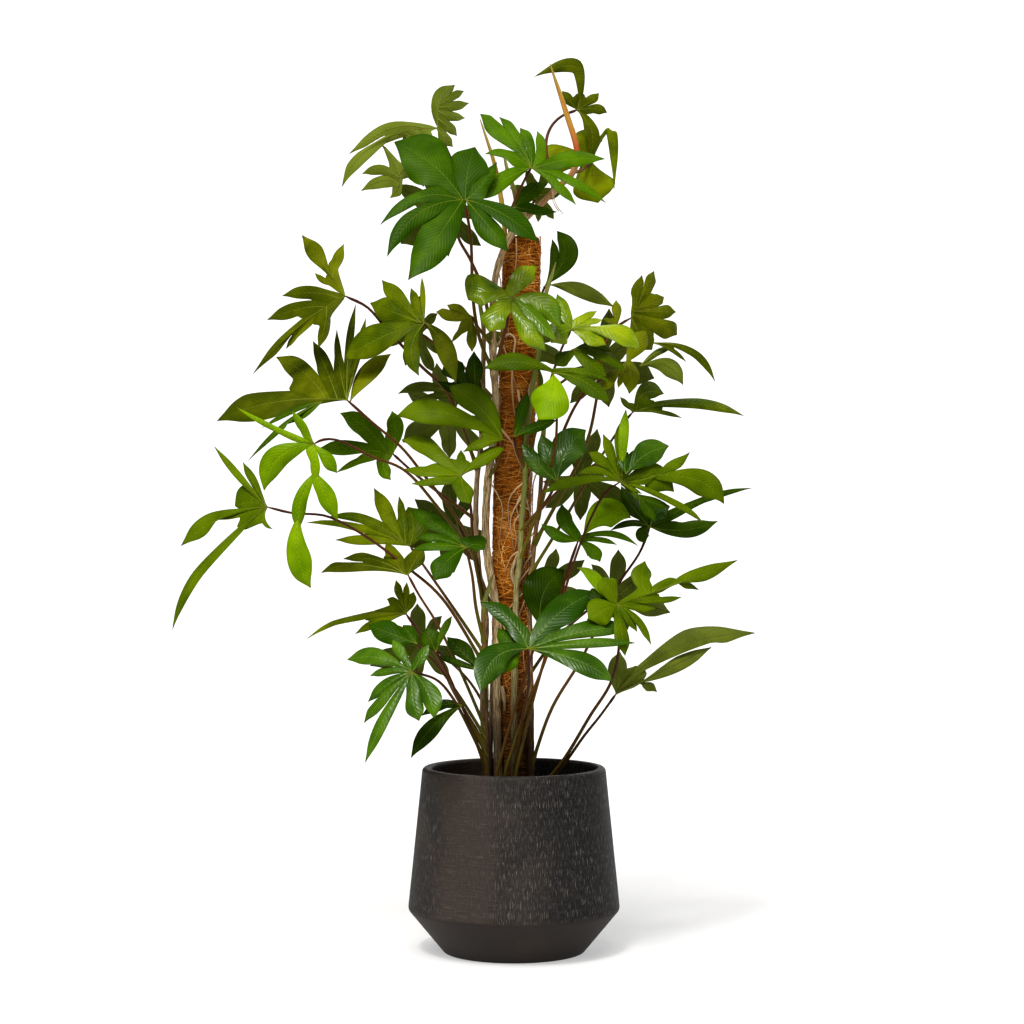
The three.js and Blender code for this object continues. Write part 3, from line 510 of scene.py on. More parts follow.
class Finish:
    """Base of the finishes: a finish makes its material once and is then reused."""

    title: str

    def make(self) -> bpy.types.Material:
        """The finish's material."""
        return bpy.data.materials.get(self.title) or self.draw(Shader(self.title))

    def draw(self, shader: Shader) -> bpy.types.Material:
        """Adds the nodes; each finish has its own."""
        raise NotImplementedError


@dataclass(frozen=True)
class BladeFinish(Finish):
    """A leaf's face or back: mottled green, pale midribs and slanting side veins with pleats between."""

    title: str
    deep: Colour
    light: Colour
    vein: Colour
    tip: Colour
    roughness: float = 0.36
    vein_share: float = 0.14
    pleat: float = 0.0002
    vein_spacing: float = 0.0062
    vein_slant: float = 1.5
    rib_width: float = 0.0009
    rib_share: float = 0.38
    gloss: float = 0.03

    def draw(self, shader: Shader) -> bpy.types.Material:
        """Veins leave the midrib at a slant: their turns are (along - slant * across) / spacing."""
        _, along, across = shader.map("pattern")
        _, length_share, edge_share = shader.map("growth")
        _, lobe_chance, leaf_chance = shader.map("chance")
        place = shader.place()
        cloud = shader.noise(place, 24.0, 3.0)
        grain = shader.noise(place, 420.0, 2.0)
        width = abs(across)
        turns = (along - width * self.vein_slant) / self.vein_spacing + lobe_chance * 7.0
        wave = turns.wave()
        inside = edge_share.smooth(1.0, 0.7) * length_share.smooth(0.98, 0.8)
        line = wave.smooth(0.8, 1.0) * inside
        fine = (turns * 3.0).wave().smooth(0.5, 1.0) * inside
        rib = (width / (self.rib_width * (1.15 - length_share))).smooth(1.0, 0.35)
        tone = (cloud - 0.5) * 1.3 + leaf_chance * 0.55 + lobe_chance * 0.3
        green = shader.mix(tone.smooth(0.0, 1.0), self.deep, self.light)
        green = shader.mix(edge_share.smooth(0.75, 1.0) * 0.35, green, self.deep)
        green = shader.mix(line * self.vein_share + fine * (self.vein_share * 0.3), green, self.vein)
        green = shader.mix(rib * self.rib_share, green, self.vein)
        worn = (length_share + (cloud - 0.5) * 0.06).smooth(0.93, 1.0)
        green = shader.mix(worn * 0.8, green, self.tip)
        height = (0.5 - wave * 0.5) * inside - rib * 0.8 + (grain - 0.5) * 0.12
        rough = (cloud - 0.5) * 0.22 + self.roughness + rib * 0.1
        normal = shader.bump(height, self.pleat)
        return shader.finish(green, rough, normal, Specular_IOR_Level=self.gloss)


@dataclass(frozen=True)
class StalkFinish(Finish):
    """A leaf stalk: maroon by the blade, greener towards the stem, with fine lengthwise streaks."""

    title: str
    by_blade: Colour
    middle: Colour
    by_stem: Colour
    roughness: float = 0.42

    def draw(self, shader: Shader) -> bpy.types.Material:
        """Colour runs from the blade's end to the stem's by the share of the length."""
        _, share, _ = shader.map("growth")
        _, chance, _ = shader.map("chance")
        vector, _, _ = shader.map("pattern")
        streak = shader.noise(shader.stretched(vector, (40.0, 14.0, 1.0)), 3.0, 3.0)
        run = share + (streak - 0.5) * 0.35 + (chance - 0.5) * 0.5
        colour = shader.mix(run.smooth(0.0, 0.55), self.by_blade, self.middle)
        colour = shader.mix(run.smooth(0.45, 1.1), colour, self.by_stem)
        # Darker towards the soil: soil stains and painted shade near the pot.
        colour = shader.soiled(colour, 0.55, paint(52, 46, 8))
        normal = shader.bump(streak, 0.0004)
        return shader.finish(colour, 0.1 * streak + self.roughness, normal, Specular_IOR_Level=0.16)


@dataclass(frozen=True)
class BarkFinish(Finish):
    """A climbing stem: grey-beige skin with lengthwise furrows, darker rings and greener young wood."""

    title: str
    pale: Colour
    dark: Colour
    young: Colour
    young_from: float = 0.75

    def draw(self, shader: Shader) -> bpy.types.Material:
        """Furrows are noise stretched along the stem; rings are patches of noise stretched round it."""
        vector, _, _ = shader.map("pattern")
        _, share, _ = shader.map("growth")
        furrow = shader.noise(shader.stretched(vector, (26.0, 9.0, 1.0)), 2.4, 4.0)
        patch = shader.noise(shader.stretched(vector, (55.0, 1.2, 1.0)), 1.0, 3.0)
        spot = shader.noise(shader.place(), 260.0, 2.0)
        colour = shader.mix(furrow.smooth(0.36, 0.62), self.dark, self.pale)
        colour = shader.mix(patch.smooth(0.56, 0.68) * 0.6, colour, self.dark)
        colour = shader.mix(spot.smooth(0.6, 0.75) * 0.5, colour, self.dark)
        young = (share + (patch - 0.5) * 0.3).smooth(self.young_from - 0.15, self.young_from + 0.15)
        # Darker towards the soil: soil stains and painted shade near the pot.
        colour = shader.soiled(shader.mix(young * 0.85, colour, self.young))
        normal = shader.bump(furrow + patch * 0.6, 0.0012)
        return shader.finish(colour, 0.68 - young * 0.2, normal, Specular_IOR_Level=0.18)


@dataclass(frozen=True)
class SheathFinish(Finish):
    """A rolled new leaf: its root, middle and point colours, and the seam that winds round it."""

    title: str
    root: Colour
    middle: Colour
    point: Colour

    def draw(self, shader: Shader) -> bpy.types.Material:
        """The seam is where the angle and a slow turn along the roll add up to a whole turn."""
        vector, _, _ = shader.map("pattern")
        _, share, turn = shader.map("growth")
        streak = shader.noise(shader.stretched(vector, (30.0, 16.0, 1.0)), 2.0, 3.0)
        colour = shader.mix((share + (streak - 0.5) * 0.2).smooth(0.08, 0.5), self.root, self.middle)
        colour = shader.mix((share + (streak - 0.5) * 0.2).smooth(0.55, 1.0), colour, self.point)
        seam = (turn + share * 0.8).wave().smooth(0.965, 1.0)
        colour = shader.mix(seam * 0.55, colour, self.root)
        normal = shader.bump(streak * 0.5 - seam, 0.0005)
        return shader.finish(colour, 0.4, normal)


@dataclass(frozen=True)
class CoirFinish(Finish):
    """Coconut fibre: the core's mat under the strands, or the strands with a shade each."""

    title: str
    dark: Colour
    warm: Colour
    pale: Colour
    strands: bool

    def draw(self, shader: Shader) -> bpy.types.Material:
        """The mat is crossed noise stretched along and across; a strand takes its own random shade."""
        _, chance, other = shader.map("chance")
        place = shader.place()
        cloud = shader.noise(place, 30.0, 4.0)
        if self.strands:
            shade = chance * 0.8 + (cloud - 0.5) * 0.9 + 0.1
            colour = shader.mix(shade.smooth(0.0, 0.6), self.dark, self.warm)
            colour = shader.mix((shade + other * 0.2).smooth(0.62, 1.1), colour, self.pale)
            # Darker towards the soil: soil stains and painted shade near the pot.
            return shader.finish(shader.soiled(colour), 0.75, None, Specular_IOR_Level=0.12)
        across = shader.noise(shader.stretched(place, (60.0, 60.0, 900.0)), 1.0, 4.0)
        along = shader.noise(shader.stretched(place, (800.0, 800.0, 90.0)), 1.0, 3.0)
        mat = across * 0.6 + along * 0.4
        colour = shader.mix((mat + (cloud - 0.5) * 0.3).smooth(0.4, 0.6), self.dark, self.warm)
        # Darker towards the soil: soil stains and painted shade near the pot.
        return shader.finish(shader.soiled(colour), 0.95, shader.bump(mat, 0.003), Specular_IOR_Level=0.1)


@dataclass(frozen=True)
class SoilFinish(Finish):
    """Potting mix or the crumbs on it, each crumb with a shade of its own."""

    title: str
    dark: Colour
    brown: Colour
    pale: Colour

    def draw(self, shader: Shader) -> bpy.types.Material:
        """Fine and coarse noise for the mix, and each crumb's random share for its shade."""
        _, chance, _ = shader.map("chance")
        place = shader.place()
        coarse, fine = shader.noise(place, 90.0, 5.0), shader.noise(place, 700.0, 3.0)
        colour = shader.mix((coarse + chance * 0.3).smooth(0.4, 0.8), self.dark, self.brown)
        colour = shader.mix((fine + chance * 0.25).smooth(0.72, 0.9), colour, self.pale)
        normal = shader.bump(coarse * 0.7 + fine * 0.3, 0.003)
        return shader.finish(colour, 0.95, normal, Specular_IOR_Level=0.15)


@dataclass(frozen=True)
class PotFinish(Finish):
    """Matt charcoal fibre-clay: short upright pale flecks on the wall, faint lying ridges, warm patches, a
    painted reflection band on the front-left and painted shade on the right.
    """

    title: str
    body: Colour
    lighter: Colour
    warm: Colour
    # Colour of the painted shade on the pot's right side.
    cool: Colour
    fleck: Colour
    shoulder: float

    def draw(self, shader: Shader) -> bpy.types.Material:
        """Flecks are narrow noise stretched upright, thinned by clouds and kept above the shoulder."""
        vector, _, height = shader.map("pattern")
        cloud = shader.noise(shader.place(), 9.0, 4.0)
        patches = shader.noise(shader.place(), 26.0, 4.0)
        across = shader.split(shader.place())[0] + (cloud - 0.5) * 0.05
        upright = shader.noise(shader.stretched(vector, (880.0, 84.0, 1.0)), 1.0, 2.0, 0.6)
        hair = shader.noise(shader.stretched(vector, (1100.0, 100.0, 1.0)), 1.0, 2.0, 0.6)
        lying = shader.noise(shader.stretched(vector, (46.0, 620.0, 1.0)), 1.0, 3.0, 0.6)
        grain = shader.noise(shader.place(), 900.0, 2.0)
        wall = height.smooth(self.shoulder - 0.001, self.shoulder + 0.004)
        # Painted reflection: a lighter, warm upright band on the front-left of the wall, where flecks thin
        # and lying ridges show.
        painted_reflection_band = across.smooth(-0.108, -0.076) * across.smooth(-0.012, -0.042) * wall
        crowd = patches.smooth(0.24, 0.54) * (1.0 - painted_reflection_band * 0.75)
        flecks = upright.smooth(0.57, 0.66) * crowd * wall
        faint = hair.smooth(0.52, 0.7) * wall * (1.0 - painted_reflection_band * 0.6)
        weave = lying.smooth(0.5, 0.68) * wall * (0.25 + painted_reflection_band * 0.75)
        colour = shader.mix(cloud.smooth(0.35, 0.68), self.body, self.lighter)
        colour = shader.mix((patches * 0.5 + cloud * 0.5).smooth(0.5, 0.66) * 0.5, colour, self.warm)
        # Painted reflection: the band is mixed towards the warm colour.
        colour = shader.mix(painted_reflection_band * 0.55, colour, self.warm)
        # Painted shade: the right side of the pot is darkened towards this colour.
        colour = shader.mix(across.smooth(-0.03, 0.09) * 0.8, colour, self.cool)
        colour = shader.mix((1.0 - wall) * 0.35, colour, self.warm)
        colour = shader.mix(faint * 0.22, colour, self.fleck)
        colour = shader.mix(weave * 0.12, colour, self.fleck)
        colour = shader.mix(flecks * 0.5, colour, self.fleck)
        height_map = weave * 0.5 - flecks * 0.5 + grain * 0.2 + upright * 0.3
        rough = 0.62 + (cloud - 0.5) * 0.2 - flecks * 0.06
        return shader.finish(colour, rough, shader.bump(height_map, 0.0011), Specular_IOR_Level=0.22)


@dataclass(frozen=True)
class WoodFinish(Finish):
    """A pale bare stake with lengthwise grain."""

    title: str
    pale: Colour
    dark: Colour

    def draw(self, shader: Shader) -> bpy.types.Material:
        """Grain is noise stretched along the stake."""
        grain = shader.noise(shader.stretched(shader.place(), (420.0, 420.0, 14.0)), 1.0, 4.0)
        colour = shader.mix(grain.smooth(0.4, 0.66), self.pale, self.dark)
        return shader.finish(colour, 0.75, shader.bump(grain, 0.0006), Specular_IOR_Level=0.3)


@dataclass(frozen=True)
class FloorFinish(Finish):
    """The plain white floor under the pot."""

    title: str
    white: Colour
    glow: float = 0.35

    def draw(self, shader: Shader) -> bpy.types.Material:
        """One even white, glowing a little so that shadows stay faint."""
        glow = {"Emission_Color": (1.0, 1.0, 1.0, 1.0), "Emission_Strength": self.glow}
        return shader.finish(self.white, 0.9, None, Specular_IOR_Level=0.0, **glow)


class Look(Enum):
    """The finishes of a leaf, by its age and by which side the photograph shows, with one mature finish
    darkened as painted shade.
    """

    YOUNG = "young"
    BRIGHT = "bright"
    GLOSSY = "glossy"
    MATURE = "mature"
    # The mature look darkened as painted shade.
    FRESH = "fresh"
    OLIVE = "olive"
    DEEP = "deep"
    BLUE = "blue"
    TURNED = "turned"


UNDERSIDE = BladeFinish(
    "leaf_underside", paint(68, 80, 14), paint(104, 115, 38), paint(60, 64, 14), paint(60, 50, 16),
    roughness=0.5, vein_share=0.12, gloss=0.06,
)
UPPER_FACES = {
    Look.YOUNG: BladeFinish(
        "leaf_young", paint(73, 104, 0), paint(123, 150, 2), paint(150, 172, 40), paint(90, 90, 10),
        roughness=0.3,
    ),
    Look.BRIGHT: BladeFinish(
        "leaf_bright", paint(38, 66, 0), paint(76, 108, 0), paint(104, 130, 30), paint(44, 48, 4),
        roughness=0.32, gloss=0.04,
    ),
    Look.GLOSSY: BladeFinish(
        "leaf_glossy", paint(70, 99, 0), paint(148, 159, 2), paint(160, 180, 70), paint(80, 84, 10),
        roughness=0.22, vein_share=0.12, gloss=0.24,
    ),
    Look.MATURE: BladeFinish(
        "leaf_mature", paint(54, 70, 0), paint(118, 128, 2), paint(122, 138, 34), paint(50, 42, 4),
    ),
    # Painted shade: a darker copy of the mature finish, for leaves that stand out in the light.
    Look.FRESH: BladeFinish(
        "leaf_fresh", paint(50, 70, 0), paint(90, 108, 2), paint(122, 138, 34), paint(50, 42, 4),
    ),
    Look.OLIVE: BladeFinish(
        "leaf_olive", paint(54, 64, 0), paint(108, 114, 4), paint(118, 126, 38), paint(60, 44, 8),
    ),
    Look.DEEP: BladeFinish(
        "leaf_deep", paint(22, 42, 0), paint(62, 86, 2), paint(100, 124, 34), paint(34, 36, 4),
        roughness=0.3,
    ),
    Look.BLUE: BladeFinish(
        "leaf_blue", paint(32, 62, 0), paint(80, 112, 12), paint(120, 148, 62), paint(30, 40, 8),
        roughness=0.26, vein_share=0.08, gloss=0.2,
    ),
    Look.TURNED: BladeFinish(
        "leaf_back_of_turned", paint(39, 58, 0), paint(77, 97, 2), paint(122, 138, 34), paint(50, 42, 4),
    ),
}
STALK = StalkFinish("stalk", paint(64, 28, 8), paint(96, 60, 18), paint(96, 92, 20))
RIB = StalkFinish("rib", paint(104, 110, 26), paint(92, 98, 20), paint(84, 64, 22))
SHEATHS = {
    "orange": SheathFinish("sheath_orange", paint(178, 78, 28), paint(176, 132, 44), paint(150, 126, 50)),
    "tan": SheathFinish("sheath_tan", paint(150, 110, 44), paint(168, 140, 56), paint(140, 118, 50)),
    "green": SheathFinish("sheath_green", paint(120, 90, 44), paint(126, 140, 54), paint(120, 104, 48)),
}
BARKS = {
    "tall": BarkFinish("bark_tall", paint(204, 182, 142), paint(116, 90, 56), paint(150, 92, 38), 0.92),
    "grey": BarkFinish("bark_grey", paint(204, 182, 142), paint(116, 90, 56), paint(118, 96, 48), 0.9),
    "brown": BarkFinish("bark_brown", paint(168, 134, 92), paint(80, 52, 30), paint(110, 84, 46), 0.8),
    "green": BarkFinish("bark_green", paint(170, 160, 116), paint(98, 84, 42), paint(108, 118, 48), 0.55),
}
ROOT = StalkFinish("aerial_root", paint(206, 180, 142), paint(188, 152, 112), paint(150, 110, 76), 0.6)


@dataclass(frozen=True)
class RolledLeaf:
    """A rolled new leaf: its fullest radius in millimetres and its route as (column, row, depth)."""

    radius: float
    route: tuple[Spot, ...]
    finish: str = "green"


@dataclass(frozen=True)
class PoleRoot:
    """An aerial root on the pole: radius, (column, row, distance off the sleeve) route, and finish."""

    radius: float
    route: tuple[Spot, ...]
    bark: bool = False


@dataclass(frozen=True)
class Leaf:
    """A leaf as the photograph shows it.

    at is the pixel where the lobes meet; depth the millimetres behind the pole there; lean how much
    deeper it gets to the right and upwards; root the row where its stalk leaves the stem, or None for
    a leaf that has no stalk of its own; stalk the pixels that the stalk passes, each with a depth where
    it has its own. Each lobe is (tip column, tip row, breadth) and, where it curves, (bend column, bend
    row) and, where known, the share of the main rib where it leaves. A breadth below zero isn't
    narrowed by neighbours. web is how far out lobes are joined, as a share of their length, and
    branching how far along the main rib the lobes next to it leave.
    """

    at: Spot
    depth: float
    lean: Spot
    root: float | None
    lobes: tuple[Spot, ...]
    stalk: tuple[Spot, ...] = ()
    look: Look = Look.MATURE
    back: bool = False
    web: float = 0.35
    branching: float = 0.0


@dataclass(frozen=True)
class Stem:
    """A climbing stem with the leaves, stalks and rolled new leaves that grow from it.

    radius is that of its foot in millimetres, and route its (column, row, depth) from the foot up.
    """

    name: str
    radius: float
    route: tuple[Spot, ...]
    sheaths: tuple[RolledLeaf, ...]
    leaves: tuple[Leaf, ...]
    bark: str = "grey"
    roots: tuple[PoleRoot, ...] = ()


PLAIN_FORM = (
    (-138, 0.6, 0.2), (-100, 0.82, 0.26), (-50, 0.88, 0.26), (0, 1.12, 0.4), (50, 0.84, 0.26),
    (96, 0.86, 0.26), (134, 0.64, 0.2),
)
PLAIN_BEND_TURN = 0.84
PLAIN_BEND_REACH = 0.55
PLAIN_WEB = 0.35
PLAIN_BRANCHING = 0.18


def plain_leaf(at: Spot, size: float, heading: float, depth: float, lean: Spot, root: float,
               stalk: tuple[Spot, ...], look: Look = Look.MATURE) -> Leaf:
    """A leaf of the plain form, for the side that the photograph doesn't show.

    A lobe of PLAIN_FORM is its turn from the end lobe in degrees, and its reach and breadth as shares
    of the size. It bends at PLAIN_BEND_REACH of its reach and PLAIN_BEND_TURN of its turn.

    Args:
        at: Where the lobes meet, as seen from behind.
        size: Reach of a lobe in pixels.
        heading: Direction of the end lobe in degrees, clockwise from the right.
        depth: Depth where the lobes meet.
        lean: How much deeper it gets to the right and upwards.
        root: Row where the stalk leaves the stem.
        stalk: Pixels that the stalk passes.
        look: Its finish.

    Returns:
        The leaf, with a broad end lobe, four long side lobes and two short base lobes.
    """
    lobes = []
    for turn, reach, share in PLAIN_FORM:
        tip, bend = np.radians(heading + turn), np.radians(heading + turn * PLAIN_BEND_TURN)
        far = size * reach
        near = far * PLAIN_BEND_REACH
        lobes.append((
            at[0] + far * np.cos(tip), at[1] + far * np.sin(tip), size * share,
            at[0] + near * np.cos(bend), at[1] + near * np.sin(bend),
        ))
    return Leaf(at, depth, lean, root, tuple(lobes), stalk, look, True, PLAIN_WEB, PLAIN_BRANCHING)


TALL_LEAVES = (
    Leaf((577, 110), 30, (0.5, 0.2), 190, look=Look.OLIVE, web=0.25, stalk=((562, 116), (551, 127),
         (546, 144), (550, 172)), lobes=((562, 91, 9), (534, 77, 13, 600, 42), (599, 93, 10, 590, 104),
         (607, 113, 10, 596, 104), (589, 159, 14, 600, 128))),
    Leaf((592, 162), 62, (0.5, 0.4), 172, web=0.35, stalk=((582, 170),), lobes=((553, 182, -31, 552, 138),
         (590, 128, -28, 584, 144), (614, 191, 10, 617, 82), (598, 203, -38, 592, 184))),
    Leaf((531, 168), -52, (0.25, 0.9), 240, look=Look.BRIGHT, web=0.3, branching=0.05, stalk=((524, 181),
         (516, 198), (511, 212)), lobes=((473, 201, 17, 500, 178), (605, 159, 15, 560, 156),
         (480, 114, 23, 508, 134), (499, 117, 13, 522, 136), (520, 128, 16, 534, 146),
         (537, 131, 10, 546, 150), (485, 154, 8, 508, 148), (576, 205, 9, 556, 178),
         (606, 203, 8, 572, 180))),
    Leaf((513, 211), -22, (0.3, 0.5), 236, look=Look.BRIGHT, branching=0.18, stalk=((508, 222),),
         lobes=((547, 184, 14, 526, 190), (557, 212, 8))),
    Leaf((466, 200), -118, (0.05, 0.75), 345, look=Look.BRIGHT, web=0.32, branching=0.05, stalk=((457, 231),
         (471, 261), (483, 290)), lobes=((538, 242, 22, 504, 208), (508, 252, 24, 482, 218),
         (408, 280, -34, 446, 226), (387, 257, 18, 408, 200), (380, 225, 11, 420, 182),
         (394, 142, -46, 440, 162), (475, 147, -40, 464, 174), (497, 162, 13, 482, 188))),
    Leaf((437, 128), -34, (-0.7, 0.6), 375, look=Look.TURNED, web=0.42, branching=0.1, stalk=((445, 145),
         (456, 172), (470, 232), (473, 299), (480, 340)), lobes=((349, 154, 13, 396, 121),
         (342, 187, 15, 366, 142, 0.62), (402, 141, 8, 412, 134, 0.3), (414, 142, 8, 420, 134, 0.18),
         (425, 142, 8, 430, 134, 0.08))),
    Leaf((383, 146), -2, (-0.7, 0.6), None, look=Look.TURNED, web=0.4, branching=0.5,
         lobes=((424, 187, 15, 408, 160), (362, 174, 10, 384, 164, 0.5), (361, 191, 13, 392, 172, 0.68),
         (390, 198, 14, 412, 184, 0.85))),
    Leaf((438, 129), -35, (-0.7, 0.6), None, look=Look.TURNED, web=0.5, branching=0.5,
         lobes=((455, 85, 18, 434, 100), (464, 91, 9, 446, 103), (469, 103, 10, 448, 108),
         (465, 118, 9, 447, 116), (457, 136, 10, 447, 124), (453, 147, 11, 442, 136))),
    Leaf((471, 316), -52, (-0.3, 0.5), 348, look=Look.OLIVE, branching=0.18, stalk=((480, 330),),
         lobes=((436, 312, 14), (447, 305, 10), (451, 343, 5), (472, 352, 10))),
    Leaf((512, 298), -104, (0.1, 0.6), 372, look=Look.GLOSSY, web=0.3, stalk=((504, 335),),
         lobes=((468, 300, 42, 482, 284), (489, 332, 34, 496, 310), (537, 266, 23, 514, 282),
         (560, 328, 24, 545, 295), (556, 342, 14, 536, 316), (546, 351, 20, 524, 330))),
    Leaf((503, 440), -66, (0, 0.5), 478, look=Look.FRESH, web=0.25, stalk=((499, 460),),
         lobes=((396, 417, 24, 440, 398), (448, 386, 29, 484, 402), (463, 452, 9, 484, 440))),
    Leaf((462, 398), 20, (-0.5, 0.5), None, look=Look.TURNED, web=0.5, lobes=((398, 394, 10, 426, 378),
         (420, 398, 6, 442, 394))),
)
LEFT_LEAVES = (
    Leaf((345, 296), 22, (-0.85, 0.7), 470, look=Look.OLIVE, web=0.34, branching=0.2, stalk=((367, 307),
         (385, 327), (420, 365), (447, 392)), lobes=((282, 296, 13, 316, 288, 0.06),
         (267, 320, 15, 304, 305, 0.22), (253, 374, 10, 304, 326), (286, 349, 6, 306, 330, 0.42),
         (318, 349, 10, 324, 316, 0.2))),
    Leaf((345, 296), 22, (-0.85, 0.7), None, look=Look.OLIVE, web=0.3, lobes=((302, 235, 19, 326, 266),
         (315, 273, 6, 324, 284, 0.2), (344, 244, 10, 334, 264, 0.3))),
    Leaf((424, 324), -30, (-0.6, 0.7), 420, web=0.3, stalk=((440, 340), (449, 362), (466, 393)),
         lobes=((422, 277, 5), (411, 288, 10), (344, 360, 29, 384, 330), (419, 376, 15, 402, 346))),
    Leaf((421, 323), -30, (-0.6, 0.7), None, web=0.55, lobes=((370, 303, -24, 396, 313),
         (382, 280, 15, 398, 300, 0.35))),
    Leaf((424, 322), -32, (-0.4, 0.7), None, look=Look.OLIVE, web=0.2, lobes=((456, 384, -17, 446, 336),)),
    Leaf((347, 400), -14, (-0.7, 1.1), 620, look=Look.OLIVE, web=0.42, stalk=((373, 423), (402, 448),
         (420, 470), (453, 513), (472, 545)), lobes=((217, 421, 27, 268, 394),
         (276, 357, 22, 312, 372, 0.14), (313, 341, 13, 328, 366, 0.06), (337, 329, 7),
         (356, 304, 7, 342, 350), (366, 318, 7, 354, 350))),
    Leaf((322, 402), -10, (-0.7, 1.1), None, look=Look.DEEP, web=0.2, lobes=((248, 461, 5, 290, 418),
         (262, 428, 5, 298, 406), (288, 424, 6, 308, 410))),
    Leaf((350, 402), -12, (-0.7, 1.1), None, look=Look.OLIVE, web=0.3, lobes=((391, 354, -17, 362, 372),)),
    # Painted light: this leaf takes the lighter young finish to make up for the shade it lies in.
    Leaf((393, 454), 52, (-0.5, 0.4), 520, look=Look.YOUNG, web=0.3, branching=0.1, stalk=((420, 478),),
         lobes=((391, 480, 12, 378, 468), (336, 473, 6, 360, 458), (318, 449, 15, 350, 446),
         (340, 413, 19, 370, 424), (392, 411, 16, 398, 430))),
    Leaf((314, 444), -60, (-0.2, 0.1), 560, look=Look.YOUNG, web=0.2, stalk=((319, 441), (329, 439),
         (343, 442), (370, 456), (404, 470), (440, 510)), lobes=((264, 491, -22, 268, 446), (316, 482, 9),
         (337, 473, 13, 326, 458), (236, 407, 5, 275, 432), (292, 411, 8))),
    Leaf((315, 472), -62, (-0.2, 0.1), None, look=Look.YOUNG, web=0.25, lobes=((299, 532, 13, 294, 498),
         (338, 521, 16, 322, 488))),
    Leaf((299, 512), -66, (-0.2, 0.1), None, look=Look.YOUNG, web=0.2, lobes=((311, 588, -22, 290, 556),)),
    Leaf((484, 400), -40, (-0.3, 0.4), 432, look=Look.DEEP, web=0.55, branching=0.18, stalk=((485, 415),),
         lobes=((447, 357, -26, 456, 384), (474, 351, 16, 474, 376), (437, 381, 9, 460, 392))),
    Leaf((461, 476), -84, (-0.2, 0.8), 600, look=Look.FRESH, web=0.42, stalk=((470, 504), (472, 530),
         (475, 560)), lobes=((470, 504, 17, 462, 490), (411, 484, 7, 436, 482), (404, 469, 10, 430, 474),
         (401, 440, 18, 438, 442), (461, 450, 9), (505, 448, 13, 482, 456))),
)
LEFT_BASE_LEAVES = (
    Leaf((267, 507), -40, (-0.8, 0.5), 665, look=Look.FRESH, web=0.3, stalk=((292, 513), (326, 516),
         (362, 534), (408, 568), (441, 597)), lobes=((273, 529, 4, 258, 524), (172.5, 630, 9, 186, 566),
         (181, 546, 18, 216, 514), (217, 520, 4), (235, 506, -34, 252, 496), (214, 446, 7, 238, 482),
         (243, 462, 8, 254, 484))),
    Leaf((410, 546), -4, (-0.3, 0.7), 652, web=0.4, branching=0.06, stalk=((424, 566), (452, 606)),
         lobes=((335, 540, 9, 372, 530), (306, 523, 6, 350, 518), (328, 517, 9, 366, 514),
         (374, 488, 15, 384, 520), (399, 496, 9), (408, 507, -33, 418, 526))),
    Leaf((466, 548), -84, (-0.1, 0.9), 640, look=Look.BRIGHT, web=0.34, stalk=((472, 575), (476, 608)),
         lobes=((434, 581, 27, 446, 556), (412, 550, 9, 440, 542), (416, 538, 10, 442, 534),
         (410, 510, 17, 438, 526), (484, 550, -18, 478, 540))),
    Leaf((408, 575), -62, (-0.5, 1), 728, look=Look.OLIVE, web=0.5, branching=0.05, stalk=((419, 595),
         (436, 622), (460, 670)), lobes=((321, 573, 12, 352, 554), (343, 559, 11, 376, 554),
         (386, 542, 12, 392, 558), (424, 547, 15, 414, 560))),
    Leaf((406, 614), -20, (-0.7, 0.6), 744, web=0.5, stalk=((419, 632), (436, 654), (454, 692)),
         lobes=((355, 634, 9, 380, 616), (307, 639, 5, 346, 613), (387, 599, 11, 398, 602),
         (396, 580, 10, 401, 598), (407, 582, 8, 405, 600), (414, 592, 10, 410, 602))),
    Leaf((417, 644), -72, (-0.2, 0.8), 736, look=Look.BRIGHT, web=0.25, stalk=((436, 664), (458, 694)),
         lobes=((368, 625, -21, 392, 634), (403, 625, 14))),
    Leaf((436, 652), -96, (0, 0.4), 752, look=Look.DEEP, web=0.3, stalk=((446, 670), (462, 706)),
         lobes=((428, 627, -19, 430, 640), (452, 616, 7, 442, 630))),
    Leaf((412, 672), -122, (-0.5, 0.5), 762, look=Look.BLUE, web=0.2, stalk=((435, 679), (452, 697),
         (470, 730)), lobes=((434, 719, 20, 434, 690), (419, 721, 22, 411, 698), (365, 763, 11, 382, 716),
         (364, 723, 14, 384, 692), (368, 702, 13, 390, 678), (370, 676, 8, 388, 668),
         (347, 660, 18, 380, 650), (392, 639, 11), (429, 644, 10, 420, 660))),
    Leaf((462, 706), -70, (-0.2, 0.4), 768, look=Look.DEEP, web=0.2, stalk=((471, 728),),
         lobes=((411, 758, 16, 430, 720), (421, 716, 10, 446, 698))),
    Leaf((481, 671), -84, (-0.2, 0.6), 702, look=Look.DEEP, web=0.2, stalk=((485, 686),),
         lobes=((447, 637, 18), (436, 655, 7))),
)
